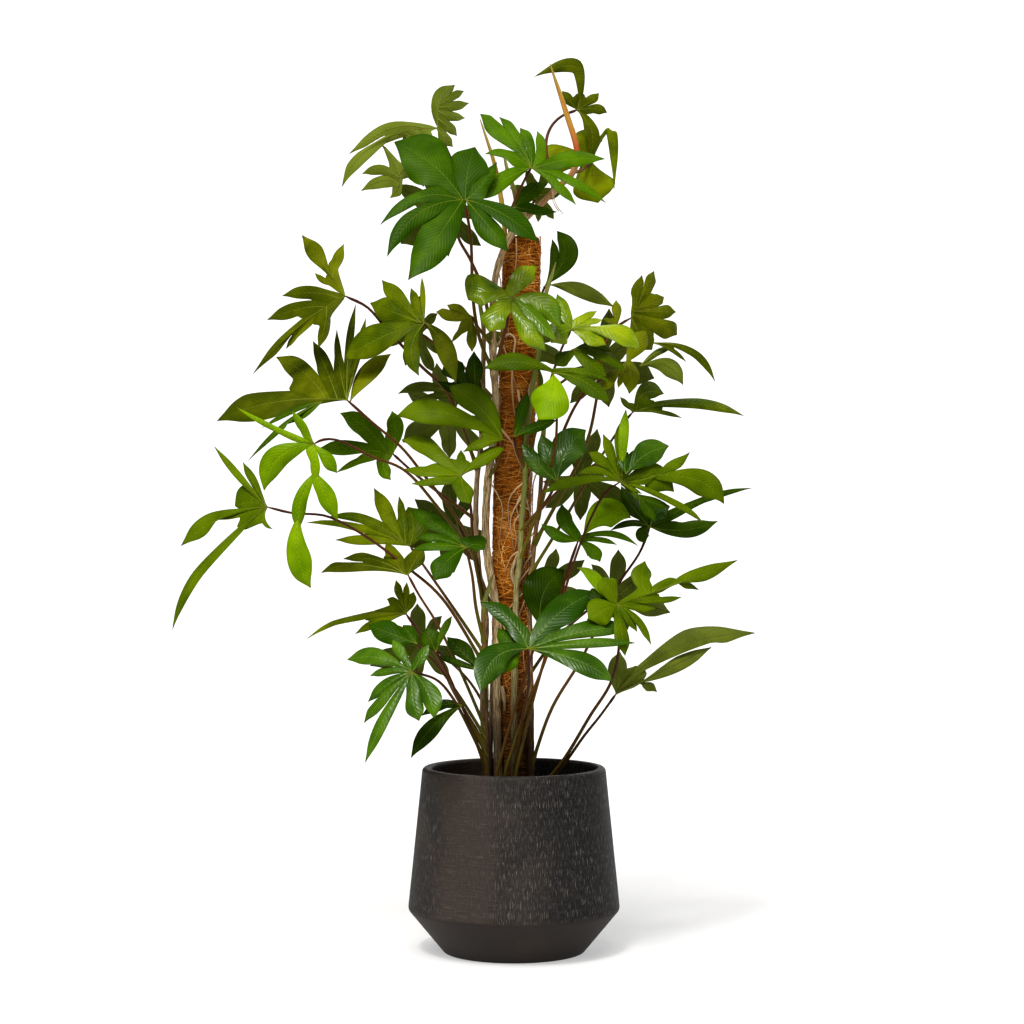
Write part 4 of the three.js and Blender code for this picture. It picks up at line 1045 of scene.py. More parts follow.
FRONT_LEAVES = (
    Leaf((545, 286), 6, (0.5, 0.3), 318, look=Look.DEEP, web=0.25, stalk=((541, 298),),
         lobes=((557, 231, 24, 575, 252), (552, 239, 9, 562, 262))),
    Leaf((549, 285), 5, (0.5, 0.5), None, look=Look.TURNED, web=0.2, lobes=((614, 307, 14, 576, 284),)),
    Leaf((571, 330), -76, (0.3, 0.8), 470, look=Look.GLOSSY, web=0.34, stalk=((561, 350), (546, 395)),
         lobes=((557, 294, 12), (597, 311, 8), (603, 320, 7, 586, 320), (640, 350, 23, 612, 318),
         (551, 343, -22, 560, 330), (606, 345, -14, 590, 336))),
    Leaf((572, 350), -66, (0.3, 0.8), None, look=Look.FRESH, web=0.25, lobes=((626, 373, 12, 604, 346),
         (612, 352, 10, 594, 342), (607, 377, 14, 588, 362), (556, 366, 14))),
    Leaf((553, 373), -150, (0.1, 0.7), 560, look=Look.FRESH, web=0.2, stalk=((556, 395), (555, 447),
         (541, 500)), lobes=((483, 369, 16, 520, 353), (610, 404, 18, 585, 374), (611, 382, 7, 580, 366))),
    Leaf((553, 374), -151, (0.1, 0.7), None, look=Look.YOUNG, web=0.2, lobes=((538, 420, -36, 556, 398),)),
    Leaf((514, 437), -56, (0.1, 0.5), 470, look=Look.BRIGHT, web=0.25, stalk=((517, 452),),
         lobes=((528, 392, 11), (557, 420, 10, 536, 426))),
    Leaf((557, 481), -78, (0.2, 0.5), 530, look=Look.BLUE, web=0.2, stalk=((547, 500),),
         lobes=((521, 443, 16, 540, 470), (541, 434, -17, 548, 456), (586, 430, -30, 562, 444))),
    Leaf((528, 649), -142, (0.1, 0.8), 778, look=Look.BLUE, web=0.2, stalk=((529, 682), (521, 726)),
         lobes=((481, 694, -27, 484, 646), (480, 602, 16, 514, 614), (597, 592, -27, 556, 606),
         (627, 629, 20, 588, 628), (636, 643, 9, 588, 646), (613, 682, -20, 584, 648))),
    Leaf((522, 650), -136, (0, 0.7), None, look=Look.BRIGHT, web=0.3, lobes=((496, 676, -20, 510, 652),
         (498, 628, -16, 508, 644))),
)
RIGHT_LEAVES = (
    Leaf((631, 318), 26, (1.0, 0.3), 545, look=Look.OLIVE, web=0.6, branching=0.2, stalk=((618, 326),
         (604, 346), (596, 402), (586, 444)), lobes=((642, 275, 12, 636, 296), (654, 271, 17, 644, 292),
         (664, 297, 17, 652, 304), (676, 312, 16, 658, 311), (677, 335, 24, 664, 324),
         (652, 350, 24, 640, 336))),
    Leaf((617, 326), 30, (0.5, 0.8), None, look=Look.OLIVE, branching=0.18, lobes=((616, 300, 9),
         (603, 318, 4))),
    Leaf((626, 362), -22, (0.7, 0.8), 520, look=Look.OLIVE, web=0.28, stalk=((606, 376), (582, 396),
         (560, 440)), lobes=((629, 394, -16, 634, 370), (602, 391, 12), (646, 330, 20), (618, 388, 7))),
    Leaf((654, 343), -10, (0.7, 0.6), None, look=Look.OLIVE, web=0.3, lobes=((715, 382, -7, 700, 342),
         (686, 362, 4, 674, 348))),
    Leaf((640, 366), -24, (0.6, 0.6), None, look=Look.TURNED, web=0.2, lobes=((683, 385, -16, 670, 356),
         (674, 347, 6, 656, 350))),
    Leaf((633, 412), -4, (0.8, 0.9), 572, web=0.25, branching=0.05, stalk=((626, 420), (604, 452),
         (570, 510)), lobes=((620, 397, 5), (664, 394, 20, 638, 384), (744, 416, 10, 694, 397),
         (682, 418, 4, 662, 408))),
    Leaf((620, 482), -58, (0.5, 0.5), 800, look=Look.FRESH, web=0.2, stalk=((606, 492), (590, 520),
         (568, 580), (549, 650), (528, 704, -46), (512, 750, -50), (505, 784, -48)),
         lobes=((578, 474, 9, 604, 462), (541, 494, 11, 584, 470), (588, 452, 13, 606, 462),
         (603, 434, 11, 612, 458), (623, 418, 13, 618, 446), (638, 448, 12, 630, 464),
         (690, 452, 13, 662, 478), (724, 504, 28, 702, 462), (674, 492, -26, 652, 470),
         (704, 524, 6, 680, 496), (642, 494, 4))),
    Leaf((626, 474), -66, (0.5, 0.7), None, look=Look.BLUE, web=0.2, lobes=((669, 446, -24, 642, 450),
         (628, 452, -12, 622, 464))),
    Leaf((621, 484), -50, (0.5, 0.9), None, look=Look.DEEP, web=0.3, lobes=((656, 523, 15, 640, 492),
         (670, 506, -10, 648, 506))),
    Leaf((622, 476), -62, (0.3, 0.4), None, look=Look.YOUNG, web=0.2, lobes=((626, 409, -10, 622, 440),)),
    Leaf((650, 527), 14, (0.8, 0.7), 764, look=Look.DEEP, web=0.25, stalk=((640, 552), (616, 588),
         (582, 658), (552, 708)), lobes=((621, 486, -16, 632, 512), (753, 488, 6, 700, 494),
         (718, 521, 15, 682, 536), (610, 531, 6, 632, 516), (645, 543, -13, 638, 532))),
    Leaf((650, 526), 10, (0.8, 0.7), None, look=Look.BLUE, web=0.2, lobes=((670, 507, -17, 656, 508),)),
    Leaf((578, 541), -46, (0.2, 0.7), 800, look=Look.BRIGHT, web=0.2, stalk=((566, 576), (550, 640),
         (533, 700, -44), (522, 746, -48), (516, 786, -46)), lobes=((541, 524, 11, 560, 540),
         (562, 504, 16, 562, 526), (638, 546, 6, 610, 526), (617, 545, 5, 598, 534),
         (600, 562, 15, 594, 546))),
    Leaf((583, 537), -52, (0.3, 0.7), None, look=Look.YOUNG, web=0.2, lobes=((631, 518, -27, 600, 500),)),
    Leaf((577, 568), -70, (0.3, 0.7), None, look=Look.YOUNG, web=0.2, lobes=((607, 600, -12, 594, 570),)),
    Leaf((617, 604), -100, (0.5, 0.4), 796, look=Look.FRESH, web=0.25, stalk=((619, 645), (611, 682),
         (590, 716), (562, 762)), lobes=((588, 619, -27, 600, 610), (603, 577, 23, 608, 590),
         (645, 561, 22, 640, 588, 0.26), (738, 560, 16, 676, 584), (699, 590, 11, 668, 578, 0.3),
         (682, 597, 6, 660, 600, 0.15), (657, 608, 8), (651, 645, 8, 640, 614), (637, 632, 9, 628, 614),
         (625, 656, 14))),
    Leaf((616, 618), -96, (0.1, 0.5), None, look=Look.DEEP, web=0.3, lobes=((592, 588, -24, 596, 604),)),
    Leaf((616, 694), -60, (0.7, 0.8), 800, look=Look.TURNED, web=0.4, stalk=((600, 716), (584, 736),
         (564, 764)), lobes=((756, 633, 24, 656, 636), (712, 647, 14, 668, 662), (657, 692, 15, 640, 676),
         (620, 652, -18, 616, 672))),
    Leaf((541, 628), -56, (0.1, 0.4), 800, look=Look.DEEP, stalk=((530, 660, -54), (514, 712, -50),
         (503, 750, -48), (498, 784, -46)), lobes=((564, 570, -40, 534, 588),)),
)
BACK_LEAVES = (
    plain_leaf((586, 182), 58, 40, -92, (0.5, 0.8), 250, ((548, 208),)),
    plain_leaf((492, 176), 34, -120, -108, (-0.2, 0.8), 214, ((498, 196),)),
    plain_leaf((500, 316), 60, 100, -150, (0, 0.9), 372, ((506, 340),)),
    plain_leaf((428, 350), 58, 160, -100, (-0.7, 0.7), 430, ((474, 384),)),
    plain_leaf((578, 402), 60, 30, -130, (0.5, 0.9), 470, ((538, 430),)),
    plain_leaf((446, 470), 60, 150, -160, (-0.4, 0.9), 548, ((482, 506),)),
    plain_leaf((414, 600), 58, 165, -100, (-0.7, 0.7), 700, ((470, 645),)),
    plain_leaf((614, 318), 46, 10, -124, (0.6, 0.6), 420, ((570, 356),)),
)
BACK_BASE_LEAVES = (
    plain_leaf((574, 524), 58, 20, -120, (0.6, 0.7), 630, ((552, 572),)),
    plain_leaf((486, 590), 66, 110, -187, (-0.1, 0.9), 690, ((500, 632),)),
    plain_leaf((606, 652), 56, 20, -100, (0.7, 0.7), 740, ((560, 690),)),
)
STEMS: tuple[Stem, ...] = (
    Stem(
        name="tall", bark="tall", radius=5.6, leaves=TALL_LEAVES,
        route=((499, 840, -22), (498, 770, -24), (497, 720, -24), (497, 650, -25), (498, 616, -25),
               (494, 594, -20), (486, 540, -8), (488, 480, -10), (496, 415, -24), (493, 350, -20),
               (494, 285, -20), (501, 256, -27), (510, 236, -31), (524, 220, -20), (545, 200, -4),
               (557, 188, 4), (571, 175, 6), (577, 163, 4)),
        roots=(
            PoleRoot(0.6, ((553, 190), (554, 198), (557, 206), (563, 214))),
            PoleRoot(0.6, ((552, 191), (553, 201), (557, 209), (559, 211))),
            PoleRoot(1.1, ((516, 238), (516.5, 255), (515.5, 270), (516, 292))),
            PoleRoot(0.8, ((500, 263), (508, 261), (514, 257))),
            PoleRoot(1.5, ((497, 346), (503, 338), (510, 334), (515, 339), (514, 350), (513, 364),
                     (512, 380), (513, 400), (515, 416))),
            PoleRoot(1.0, ((500, 336), (504, 348), (507, 356), (511, 370), (516, 385), (520, 397))),
            PoleRoot(1.2, ((533, 376), (530, 386), (527, 398), (524, 412), (525, 425), (528, 440))),
            PoleRoot(1.1, ((497, 386), (500, 395), (501, 403), (498, 409))),
            PoleRoot(1.4, ((518, 390), (521, 410), (523, 425), (527, 440), (530, 456))),
            PoleRoot(1.3, ((500, 428), (507, 436), (513, 444), (516, 454), (521, 465), (527, 478))),
            PoleRoot(3.0, ((520, 552), (515, 562), (512, 572), (514, 582), (518, 592)), True),
            PoleRoot(2.2, ((530, 556), (533, 568), (534, 580), (531, 592)), True),
            PoleRoot(1.2, ((520, 590), (517, 600), (514, 613))),
            PoleRoot(1.3, ((527, 588), (524, 602), (519, 616), (520, 634))),
            PoleRoot(1.7, ((540, 498), (538, 520), (536, 540), (534, 560), (531, 580), (528, 602)), True),
            PoleRoot(3.0, ((502, 686, 3), (504, 698, 4), (505, 711, 3)), True),
            PoleRoot(3.4, ((494, 640), (492, 690), (491, 735), (492, 782)), True),
            PoleRoot(2.8, ((491, 700, 6), (492, 714, 6), (496, 732, 7), (498, 746, 6), (495, 764, 3)),
                     True),
        ),
        sheaths=(
            RolledLeaf(3.2, ((577, 166, 4), (576, 146, 0), (566, 112, -6), (550, 64, -12)), "orange"),
            RolledLeaf(2.6, ((506, 244, -25), (502, 205, -28), (495, 166, -30), (480, 119, -34)), "tan"),
        ),
    ),
    Stem(
        name="left", radius=4.2, leaves=LEFT_LEAVES,
        route=((486, 840, 4), (485, 770, 4), (483, 700, 6), (485, 650, 6), (486, 620, 6), (480, 580, 8),
               (476, 530, 10), (477, 480, 10), (482, 430, 6), (483, 380, 4), (484, 335, 4)),
        sheaths=(
            RolledLeaf(2.4, ((484, 340, 4), (483, 322, 4), (480, 304, 4), (478, 283, 2))),
        ),
    ),
    Stem(
        name="left_base", bark="brown", radius=4, leaves=LEFT_BASE_LEAVES,
        route=((487, 840, -34), (487, 770, -36), (486, 720, -38), (486, 680, -38), (484, 645, -38),
               (483, 622, -38)),
        sheaths=(
            RolledLeaf(2.6, ((483, 626, -38), (484, 606, -38), (488, 590, -40), (494, 572, -44))),
        ),
    ),
    Stem(
        name="front", bark="green", radius=4.2, leaves=FRONT_LEAVES,
        route=((514, 840, -30), (514, 770, -32), (514, 700, -33), (515, 640, -33), (517, 581, -33),
               (520, 559, -33), (522, 520, -33), (525, 481, -31), (526, 440, -30), (532, 390, -28),
               (540, 340, -20), (543, 300, -14)),
        sheaths=(
            RolledLeaf(2, ((543, 304, -14), (547, 290, -14), (551, 278, -16), (556, 262, -18))),
        ),
    ),
    Stem(
        name="right", bark="brown", radius=3.8, leaves=RIGHT_LEAVES,
        route=((532, 840, -24), (531, 770, -24), (531, 700, -24), (530, 640, -24), (530, 590, -24),
               (534, 546, -18), (540, 495, -8), (542, 455, -4)),
        sheaths=(
            RolledLeaf(2.6, ((542, 460, -4), (543, 440, -4), (545, 420, -6), (548, 396, -10))),
        ),
    ),
    Stem(
        name="back", radius=4, leaves=BACK_LEAVES,
        route=((516, 840, 32), (515, 770, 33), (514, 680, 34), (512, 590, 34), (512, 480, 34),
               (516, 380, 34), (520, 300, 34), (522, 236, 32), (516, 205, 30)),
        sheaths=(
            RolledLeaf(2.6, ((517, 208, 30), (514, 190, 30), (508, 172, 32), (503, 150, 36))),
        ),
    ),
    Stem(
        name="back_base", bark="brown", radius=4, leaves=BACK_BASE_LEAVES,
        route=((500, 840, 28), (500, 770, 30), (500, 700, 30), (499, 640, 30), (498, 592, 30)),
        sheaths=(
            RolledLeaf(2.6, ((498, 596, 30), (498, 576, 30), (500, 560, 32), (503, 540, 34))),
        ),
    ),
)


class Rib:
    """The middle line of a lobe in photograph pixels: a quadratic curve from its root to its tip."""

    CHECKS = np.arange(3, 21) / 20.0

    def __init__(self, start: Array, control: Array, tip: Array, breadth: float,
                 share: float | None = None) -> None:
        """Keeps the curve's points, the lobe's full breadth, and where it leaves the main rib if known."""
        self.start, self.control, self.tip, self.breadth, self.share = start, control, tip, breadth, share
        fine = self.at(np.linspace(0.0, 1.0, 41))
        self.length = float(np.linalg.norm(np.diff(fine, axis=0), axis=1).sum())

    def at(self, s: Array) -> Array:
        """Points: (1 - s)^2 start + 2 s (1 - s) control + s^2 tip."""
        s = np.asarray(s, float)[..., None]
        return (1 - s) ** 2 * self.start + 2 * s * (1 - s) * self.control + s * s * self.tip

    def along(self, s: Array) -> Array:
        """Unit headings."""
        s = np.asarray(s, float)[..., None]
        return unit((1 - s) * (self.control - self.start) + s * (self.tip - self.control))

    def side(self, s: Array) -> Array:
        """Unit vectors across the line, to the side that comes next round the leaf."""
        along = self.along(s)
        return np.stack([-along[..., 1], along[..., 0]], -1)


@dataclass
class Arm:
    """A side lobe: its rib, the share of the main rib where it leaves, and its lift there in pixels."""

    rib: Rib
    root: float
    root_lift: float

    ARCH = 0.1

    def lift(self, s: Array) -> Array:
        """How far the rib bows towards the viewer: a tenth of its length at the middle."""
        return self.root_lift * (1 - s) ** 2 - self.ARCH * self.rib.length * 4 * s * (1 - s)


@dataclass(frozen=True)
class Notch:
    """The deepest spot between two lobes, and where on the main rib the line between them starts."""

    root: float
    start: Array
    start_lift: float
    spot: Array
    lift: float


class Blade:
    """A deeply cut leaf blade: a main rib, arms on both sides of it, and webs between them.

    Every lobe is two half sheets, one on each side of its rib. In a half sheet u runs along the rib
    and v from the rib to the edge. Half sheets of neighbouring lobes share the line to their notch.

    Ribs that leave less than LEAST_TURN apart are spread in PASSES rounds. A lobe takes up at most ROOM
    of the way to other ribs, and ribs on its other side count as FAR away. A notch has VALLEY of its
    lobes' lift. A half sheet has JOINED_ROWS rows up to its notch, FREE_ROWS beyond it, and columns at
    the shares ACROSS. Its THICKNESS in millimetres is doubled at the rib's root.
    """

    LEAST_TURN = np.radians(15.0)
    PASSES = 30
    ROOM = 0.55
    FAR = 1000.0
    FULLER = 1.1
    FOLD = 0.28
    VALLEY = 0.8
    JOINED_ROWS = 5
    FREE_ROWS = 18
    ACROSS = np.array((0.0, 0.07, 0.18, 0.34, 0.52, 0.7, 0.86, 1.0))
    THICKNESS = 0.5
    RIB_STEPS = 14
    RIB_SIDES = 5

    def __init__(self, leaf: Leaf, rng: np.random.Generator) -> None:
        """Places the ribs of a leaf.

        Args:
            leaf: What the photograph shows.
            rng: Seeded source of the small differences between lobes.
        """
        self.leaf = leaf
        self.rng = rng
        self.junction = np.array(leaf.at, float)
        ribs, turns = self._in_order()
        longest = int(np.argmax([rib.length for rib in ribs]))
        self.main = Arm(ribs[longest], 0.0, 0.0)
        self.chance = float(rng.random())
        self.sides = {}
        for sign, order in ((-1, range(longest)), (1, range(len(ribs) - 1, longest, -1))):
            apart = [abs(turns[k] - turns[longest]) for k in order]
            self.sides[sign] = [self._arm(ribs[k], turn) for k, turn in zip(order, apart)]

    def _in_order(self) -> tuple[list[Rib], Array]:
        """Ribs sorted round the junction from after the widest gap, those too close spread apart."""
        specs = []
        for spec in self.leaf.lobes:
            tip, bent = np.array(spec[:2], float), len(spec) > 3
            toward = (np.array(spec[3:5], float) if bent else tip) - self.junction
            reach = float(np.hypot(*toward)) * (1.0 if bent else 0.5)
            heading = float(np.arctan2(toward[1], toward[0])) % (2 * np.pi)
            specs.append((heading, reach, tip, float(spec[2]), spec[5] if len(spec) > 5 else None))
        specs.sort(key=lambda spec: spec[0])
        turns = np.array([spec[0] for spec in specs])
        gaps = (turns - np.roll(turns, 1)) % (2.0 * np.pi)
        gaps[gaps == 0.0] = 2.0 * np.pi
        start = int(np.argmax(gaps))
        specs = specs[start:] + specs[:start]
        turns = np.roll(turns, -start)
        turns = turns[0] + np.concatenate([[0.0], np.cumsum(np.diff(turns) % (2.0 * np.pi))])
        for _ in range(self.PASSES):
            for k in range(1, len(turns)):
                short = max(0.0, self.LEAST_TURN - (turns[k] - turns[k - 1])) / 2
                turns[k] += short
                turns[k - 1] -= short
        ribs = []
        for (_, reach, tip, breadth, share), turn in zip(specs, turns):
            control = self.junction + reach * np.array((np.cos(turn), np.sin(turn)))
            ribs.append(Rib(self.junction, control, tip, breadth, share))
        return ribs, turns

    def _arm(self, rib: Rib, turn: float) -> Arm:
        """A lobe moved to leave the main rib at its own share, or at branching * cos(turn).

        A bend that would lie closer to that start than 0.3 of the way to the tip goes to 0.45 of the
        way, three parts towards the tip and one part along the main rib.
        """
        root = self.leaf.branching * max(0.0, float(np.cos(turn))) if rib.share is None else rib.share
        start = self.main.rib.at(root)
        toward = rib.tip - start
        far = float(np.hypot(*toward))
        control = rib.control
        if root > 0.04 and float(np.hypot(*(control - start))) < 0.3 * far:
            heading = unit(0.75 * toward / far + 0.25 * self.main.rib.along(root))
            control = start + 0.45 * far * heading
        moved = Rib(start, control, rib.tip, rib.breadth)
        return Arm(moved, root, float(self.main.lift(np.array(root))))

    def _notch(self, low: Arm, high: Arm | None) -> Notch:
        """The notch between two arms, or between the last arm and the main rib's end lobe.

        It lies midway between the two ribs at the share web of each. Its line starts on the main rib,
        midway between the two lobes, or 0.06 of the main rib past the last one.
        """
        web = self.leaf.web
        root = low.root + 0.5 * ((high.root if high else low.root + 0.12) - low.root)
        if high is None and low.root < 0.02:
            root = 0.0
        start = self.main.rib.at(root)
        if high:
            other, lift = high.rib.at(web), float(high.lift(np.array(web)))
        else:
            share = root + web * (1.0 - root)
            other, lift = self.main.rib.at(share), float(self.main.lift(np.array(share)))
        spot = (low.rib.at(web) + other) / 2
        lift = self.VALLEY * (float(low.lift(np.array(web))) + lift) / 2
        return Notch(root, start, float(self.main.lift(np.array(root))), spot, lift)

    def _half(self, rib: Rib, s: Array, sign: int) -> Array:
        """Half breadth at shares of a lobe on one side, a little uneven.

        It is a swelling of 1.1 * breadth / 2 * sin(pi * s^1.3)^0.9, narrowed by a third at the very tip.
        On the side where other ribs are, it keeps to ROOM of the way to them: the two limits a and b
        are joined as (a^-4 + b^-4)^(-1/4). A lobe whose breadth is given below zero keeps it whatever
        is near.
        """
        swell = np.sin(np.pi * np.clip(s, 0.0, 1.0) ** 1.3) ** 0.9 * (1.0 - 0.35 * smooth(s, 0.8, 1.0))
        wanted = np.maximum(self.FULLER * abs(rib.breadth) / 2 * swell, 1e-6)
        ribs = [self.main.rib] + [arm.rib for arms in self.sides.values() for arm in arms]
        others = [other.at(Rib.CHECKS) for other in ribs if other is not rib]
        if others and rib.breadth > 0.0:
            way = np.concatenate(others)[None] - rib.at(s)[:, None]
            beside = sign * (way * rib.side(s)[:, None]).sum(-1)
            away = np.linalg.norm(way, axis=-1) + np.where(beside > 0.0, 0.0, self.FAR)
            room = np.maximum(self.ROOM * away.min(1), 1e-3)
            wanted = (wanted ** -4.0 + room ** -4.0) ** -0.25
        return wanted * (1.0 + 0.045 * self._wave(s, 1.0, 1.8))

    def _wave(self, s: Array, low: float, high: float) -> Array:
        """A sine that makes between low and high turns along a lobe, starting anywhere."""
        return np.sin(2 * np.pi * self.rng.uniform(low, high) * s + self.rng.uniform(0.0, 2 * np.pi))

    def place(self, flat: Array, lift: Array) -> Array:
        """Points in millimetres of spots in the picture, with their lift behind the leaf's plane."""
        away = flat - self.junction
        lean_x, lean_z = self.leaf.lean
        depth = self.leaf.depth + VIEW.mm_per_pixel * (lean_x * away[..., 0] - lean_z * away[..., 1] + lift)
        return VIEW.spot(flat[..., 0], flat[..., 1], depth, self.leaf.back)

    def _half_sheet(self, draft: Draft, arm: Arm, sign: int, start: float, notch: Notch | None,
                    base: tuple[Array, Array], chance: Array) -> None:
        """Adds the part of a lobe on one side of its rib.

        The flat place is the rib plus v times the way to the edge, which runs along the line to the
        notch and then frees itself to the lobe's half breadth. The lift is the rib's, plus a fold of
        0.28 half breadths, less a puff of v * (1 - v), plus a wave along the edge; all fade out where
        lobes join. By a lobe's own chance it also tilts and droops. The first row follows the main rib.

        Args:
            draft: Where the sheet goes.
            arm: The lobe.
            sign: Which side of its rib, 1 for the side that comes next round the leaf.
            start: Share of the rib where the sheet starts.
            notch: The notch on that side, or None at the leaf's base.
            base: The first row's shares of the main rib, and None or that row's spots and lifts.
            chance: Two random shares.
        """
        v, web = self.ACROSS, self.leaf.web
        run = np.linspace(0.0, 1.0, self.FREE_ROWS + 1)[1:]
        u = np.concatenate([np.linspace(0.0, web, self.JOINED_ROWS + 1), web + (1.0 - web) * run ** 0.92])
        s = start + (1.0 - start) * u
        centre, side, rib_lift = arm.rib.at(s), sign * arm.rib.side(s), arm.lift(s)
        half = self._half(arm.rib, s, sign)
        edge = centre + side * half[:, None]
        base_spots, base_lifts = base
        if notch:
            hold = 1.0 - smooth(u, web, web + 0.4 * (1.0 - web))
            row = self.JOINED_ROWS
            joined = np.clip(u / web, 0.0, 1.0)
            line = notch.start + (notch.spot - notch.start) * joined[:, None]
            freed = edge + (notch.spot - edge[row]) * hold[:, None]
            edge = np.where((u <= web + 1e-9)[:, None], line, freed)
            joint_lift = notch.start_lift + (notch.lift - notch.start_lift) * joined
            loose = smooth(u, web * 0.7, web + 0.35 * (1.0 - web))
        else:
            edge = edge + (base_spots[-1] - edge[0]) * (1.0 - smooth(u, 0.0, 0.35))[:, None]
            joint_lift = np.full_like(u, base_lifts[-1])
            loose = smooth(u, 0.0, 0.35)
        loose, half = loose[:, None], np.maximum(half, 1e-6)[:, None]
        flat = centre[:, None] + (edge - centre)[:, None] * v[None, :, None]
        early = (1.0 - smooth(u, 0.0, 0.3))[:, None]
        flat = flat + (base_spots - flat[0])[None] * early[..., None]
        held = v[None] * (1.0 - loose)
        lift = rib_lift[:, None] * (1.0 - held) + joint_lift[:, None] * held
        lift = lift + (base_lifts - lift[0])[None] * early
        lift = lift + self.FOLD * half * v[None] ** 1.2 * loose
        lift = lift - 0.3 * half * v[None] * (1.0 - v[None]) * loose
        groove = (1.0 - smooth(v, 0.0, 0.12))[None] * smooth(u, 0.02, 0.15)[:, None] * (1.0 - u[:, None])
        wave = self._wave(s, 1.2, 2.4)[:, None]
        lift = lift + 0.5 * groove + 0.16 * half * v[None] ** 2 * wave * loose
        droop = 0.08 * arm.rib.length * u[:, None] ** 2
        lift = lift + (chance[0] - 0.5) * (sign * 0.5 * half * v[None] * loose + droop)
        thickness = self.THICKNESS * (1.0 + (1.0 - v[None]) ** 2 * (1.0 - u[:, None]))
        scale = VIEW.mm_per_pixel * METRES
        away = np.linalg.norm(flat - centre[:, None], axis=-1) * scale
        along = np.broadcast_to(s[:, None] * arm.rib.length * scale, away.shape)
        pattern = np.stack([along, sign * away], -1)
        growth = np.stack(np.broadcast_arrays(s[:, None], v[None]), -1)
        points = self.place(flat, lift)
        if sign < 0:
            points, pattern, growth = points[:, ::-1], pattern[:, ::-1], growth[:, ::-1]
            thickness = thickness[:, ::-1]
        draft.add(points, pattern, growth, chance, 0, thickness)

    def _base(self, low: float, high: float) -> tuple[Array, Array]:
        """Spots and lifts of a first row that runs along the main rib between two shares."""
        shares = low + (high - low) * self.ACROSS
        return self.main.rib.at(shares), self.main.lift(shares)

    def _rib_into(self, ribs: Draft, arm: Arm, chance: Array) -> None:
        """Adds a rib: raised on the underside, and a fine line on the upper face.

        Its radius in millimetres is 0.9 (1 - s)^0.8 + 0.15, and 0.45 of that on the upper face.
        """
        s = np.linspace(0.0, 0.95, self.RIB_STEPS)
        radius = 0.9 * (1.0 - s) ** 0.8 + 0.15
        turned = -1.0 if self.leaf.look is Look.TURNED else 1.0
        for sign, share in ((turned, 1.0), (-turned, 0.45)):
            here = radius * share
            lift = arm.lift(s) + sign * (0.75 - 0.35 * share) * 1.1 * here / VIEW.mm_per_pixel
            lift = lift + 0.5 * smooth(s, 0.02, 0.15) * (1 - s)
            lift = lift + (chance[0] - 0.5) * 0.08 * arm.rib.length * s ** 2
            path = self.place(arm.rib.at(s), lift)
            bars_into(ribs, path[None], here[None], self.RIB_SIDES, chance[None], 1)

    def into(self, draft: Draft, ribs: Draft) -> None:
        """Adds every lobe: the arms of both sides from the base up, then the end lobe's two halves."""
        main_chance = np.array((self.rng.random(), self.chance))
        for sign, arms in self.sides.items():
            after = arms[1:] + [None]
            notches = [self._notch(low, high) for low, high in zip(arms, after)]
            for k, arm in enumerate(arms):
                chance = np.array((self.rng.random(), self.chance))
                below = notches[k - 1] if k else None
                low = below.root if below else 0.0
                front = self._base(arm.root, notches[k].root)
                back = self._base(arm.root, low)
                self._half_sheet(draft, arm, -sign, 0.0, notches[k], front, chance)
                self._half_sheet(draft, arm, sign, 0.0, below, back, chance)
                self._rib_into(ribs, arm, chance)
            last = notches[-1] if notches else None
            root = last.root if last else 0.0
            self._half_sheet(draft, self.main, sign, root, last, self._base(root, root), main_chance)
        self._rib_into(ribs, self.main, main_chance)


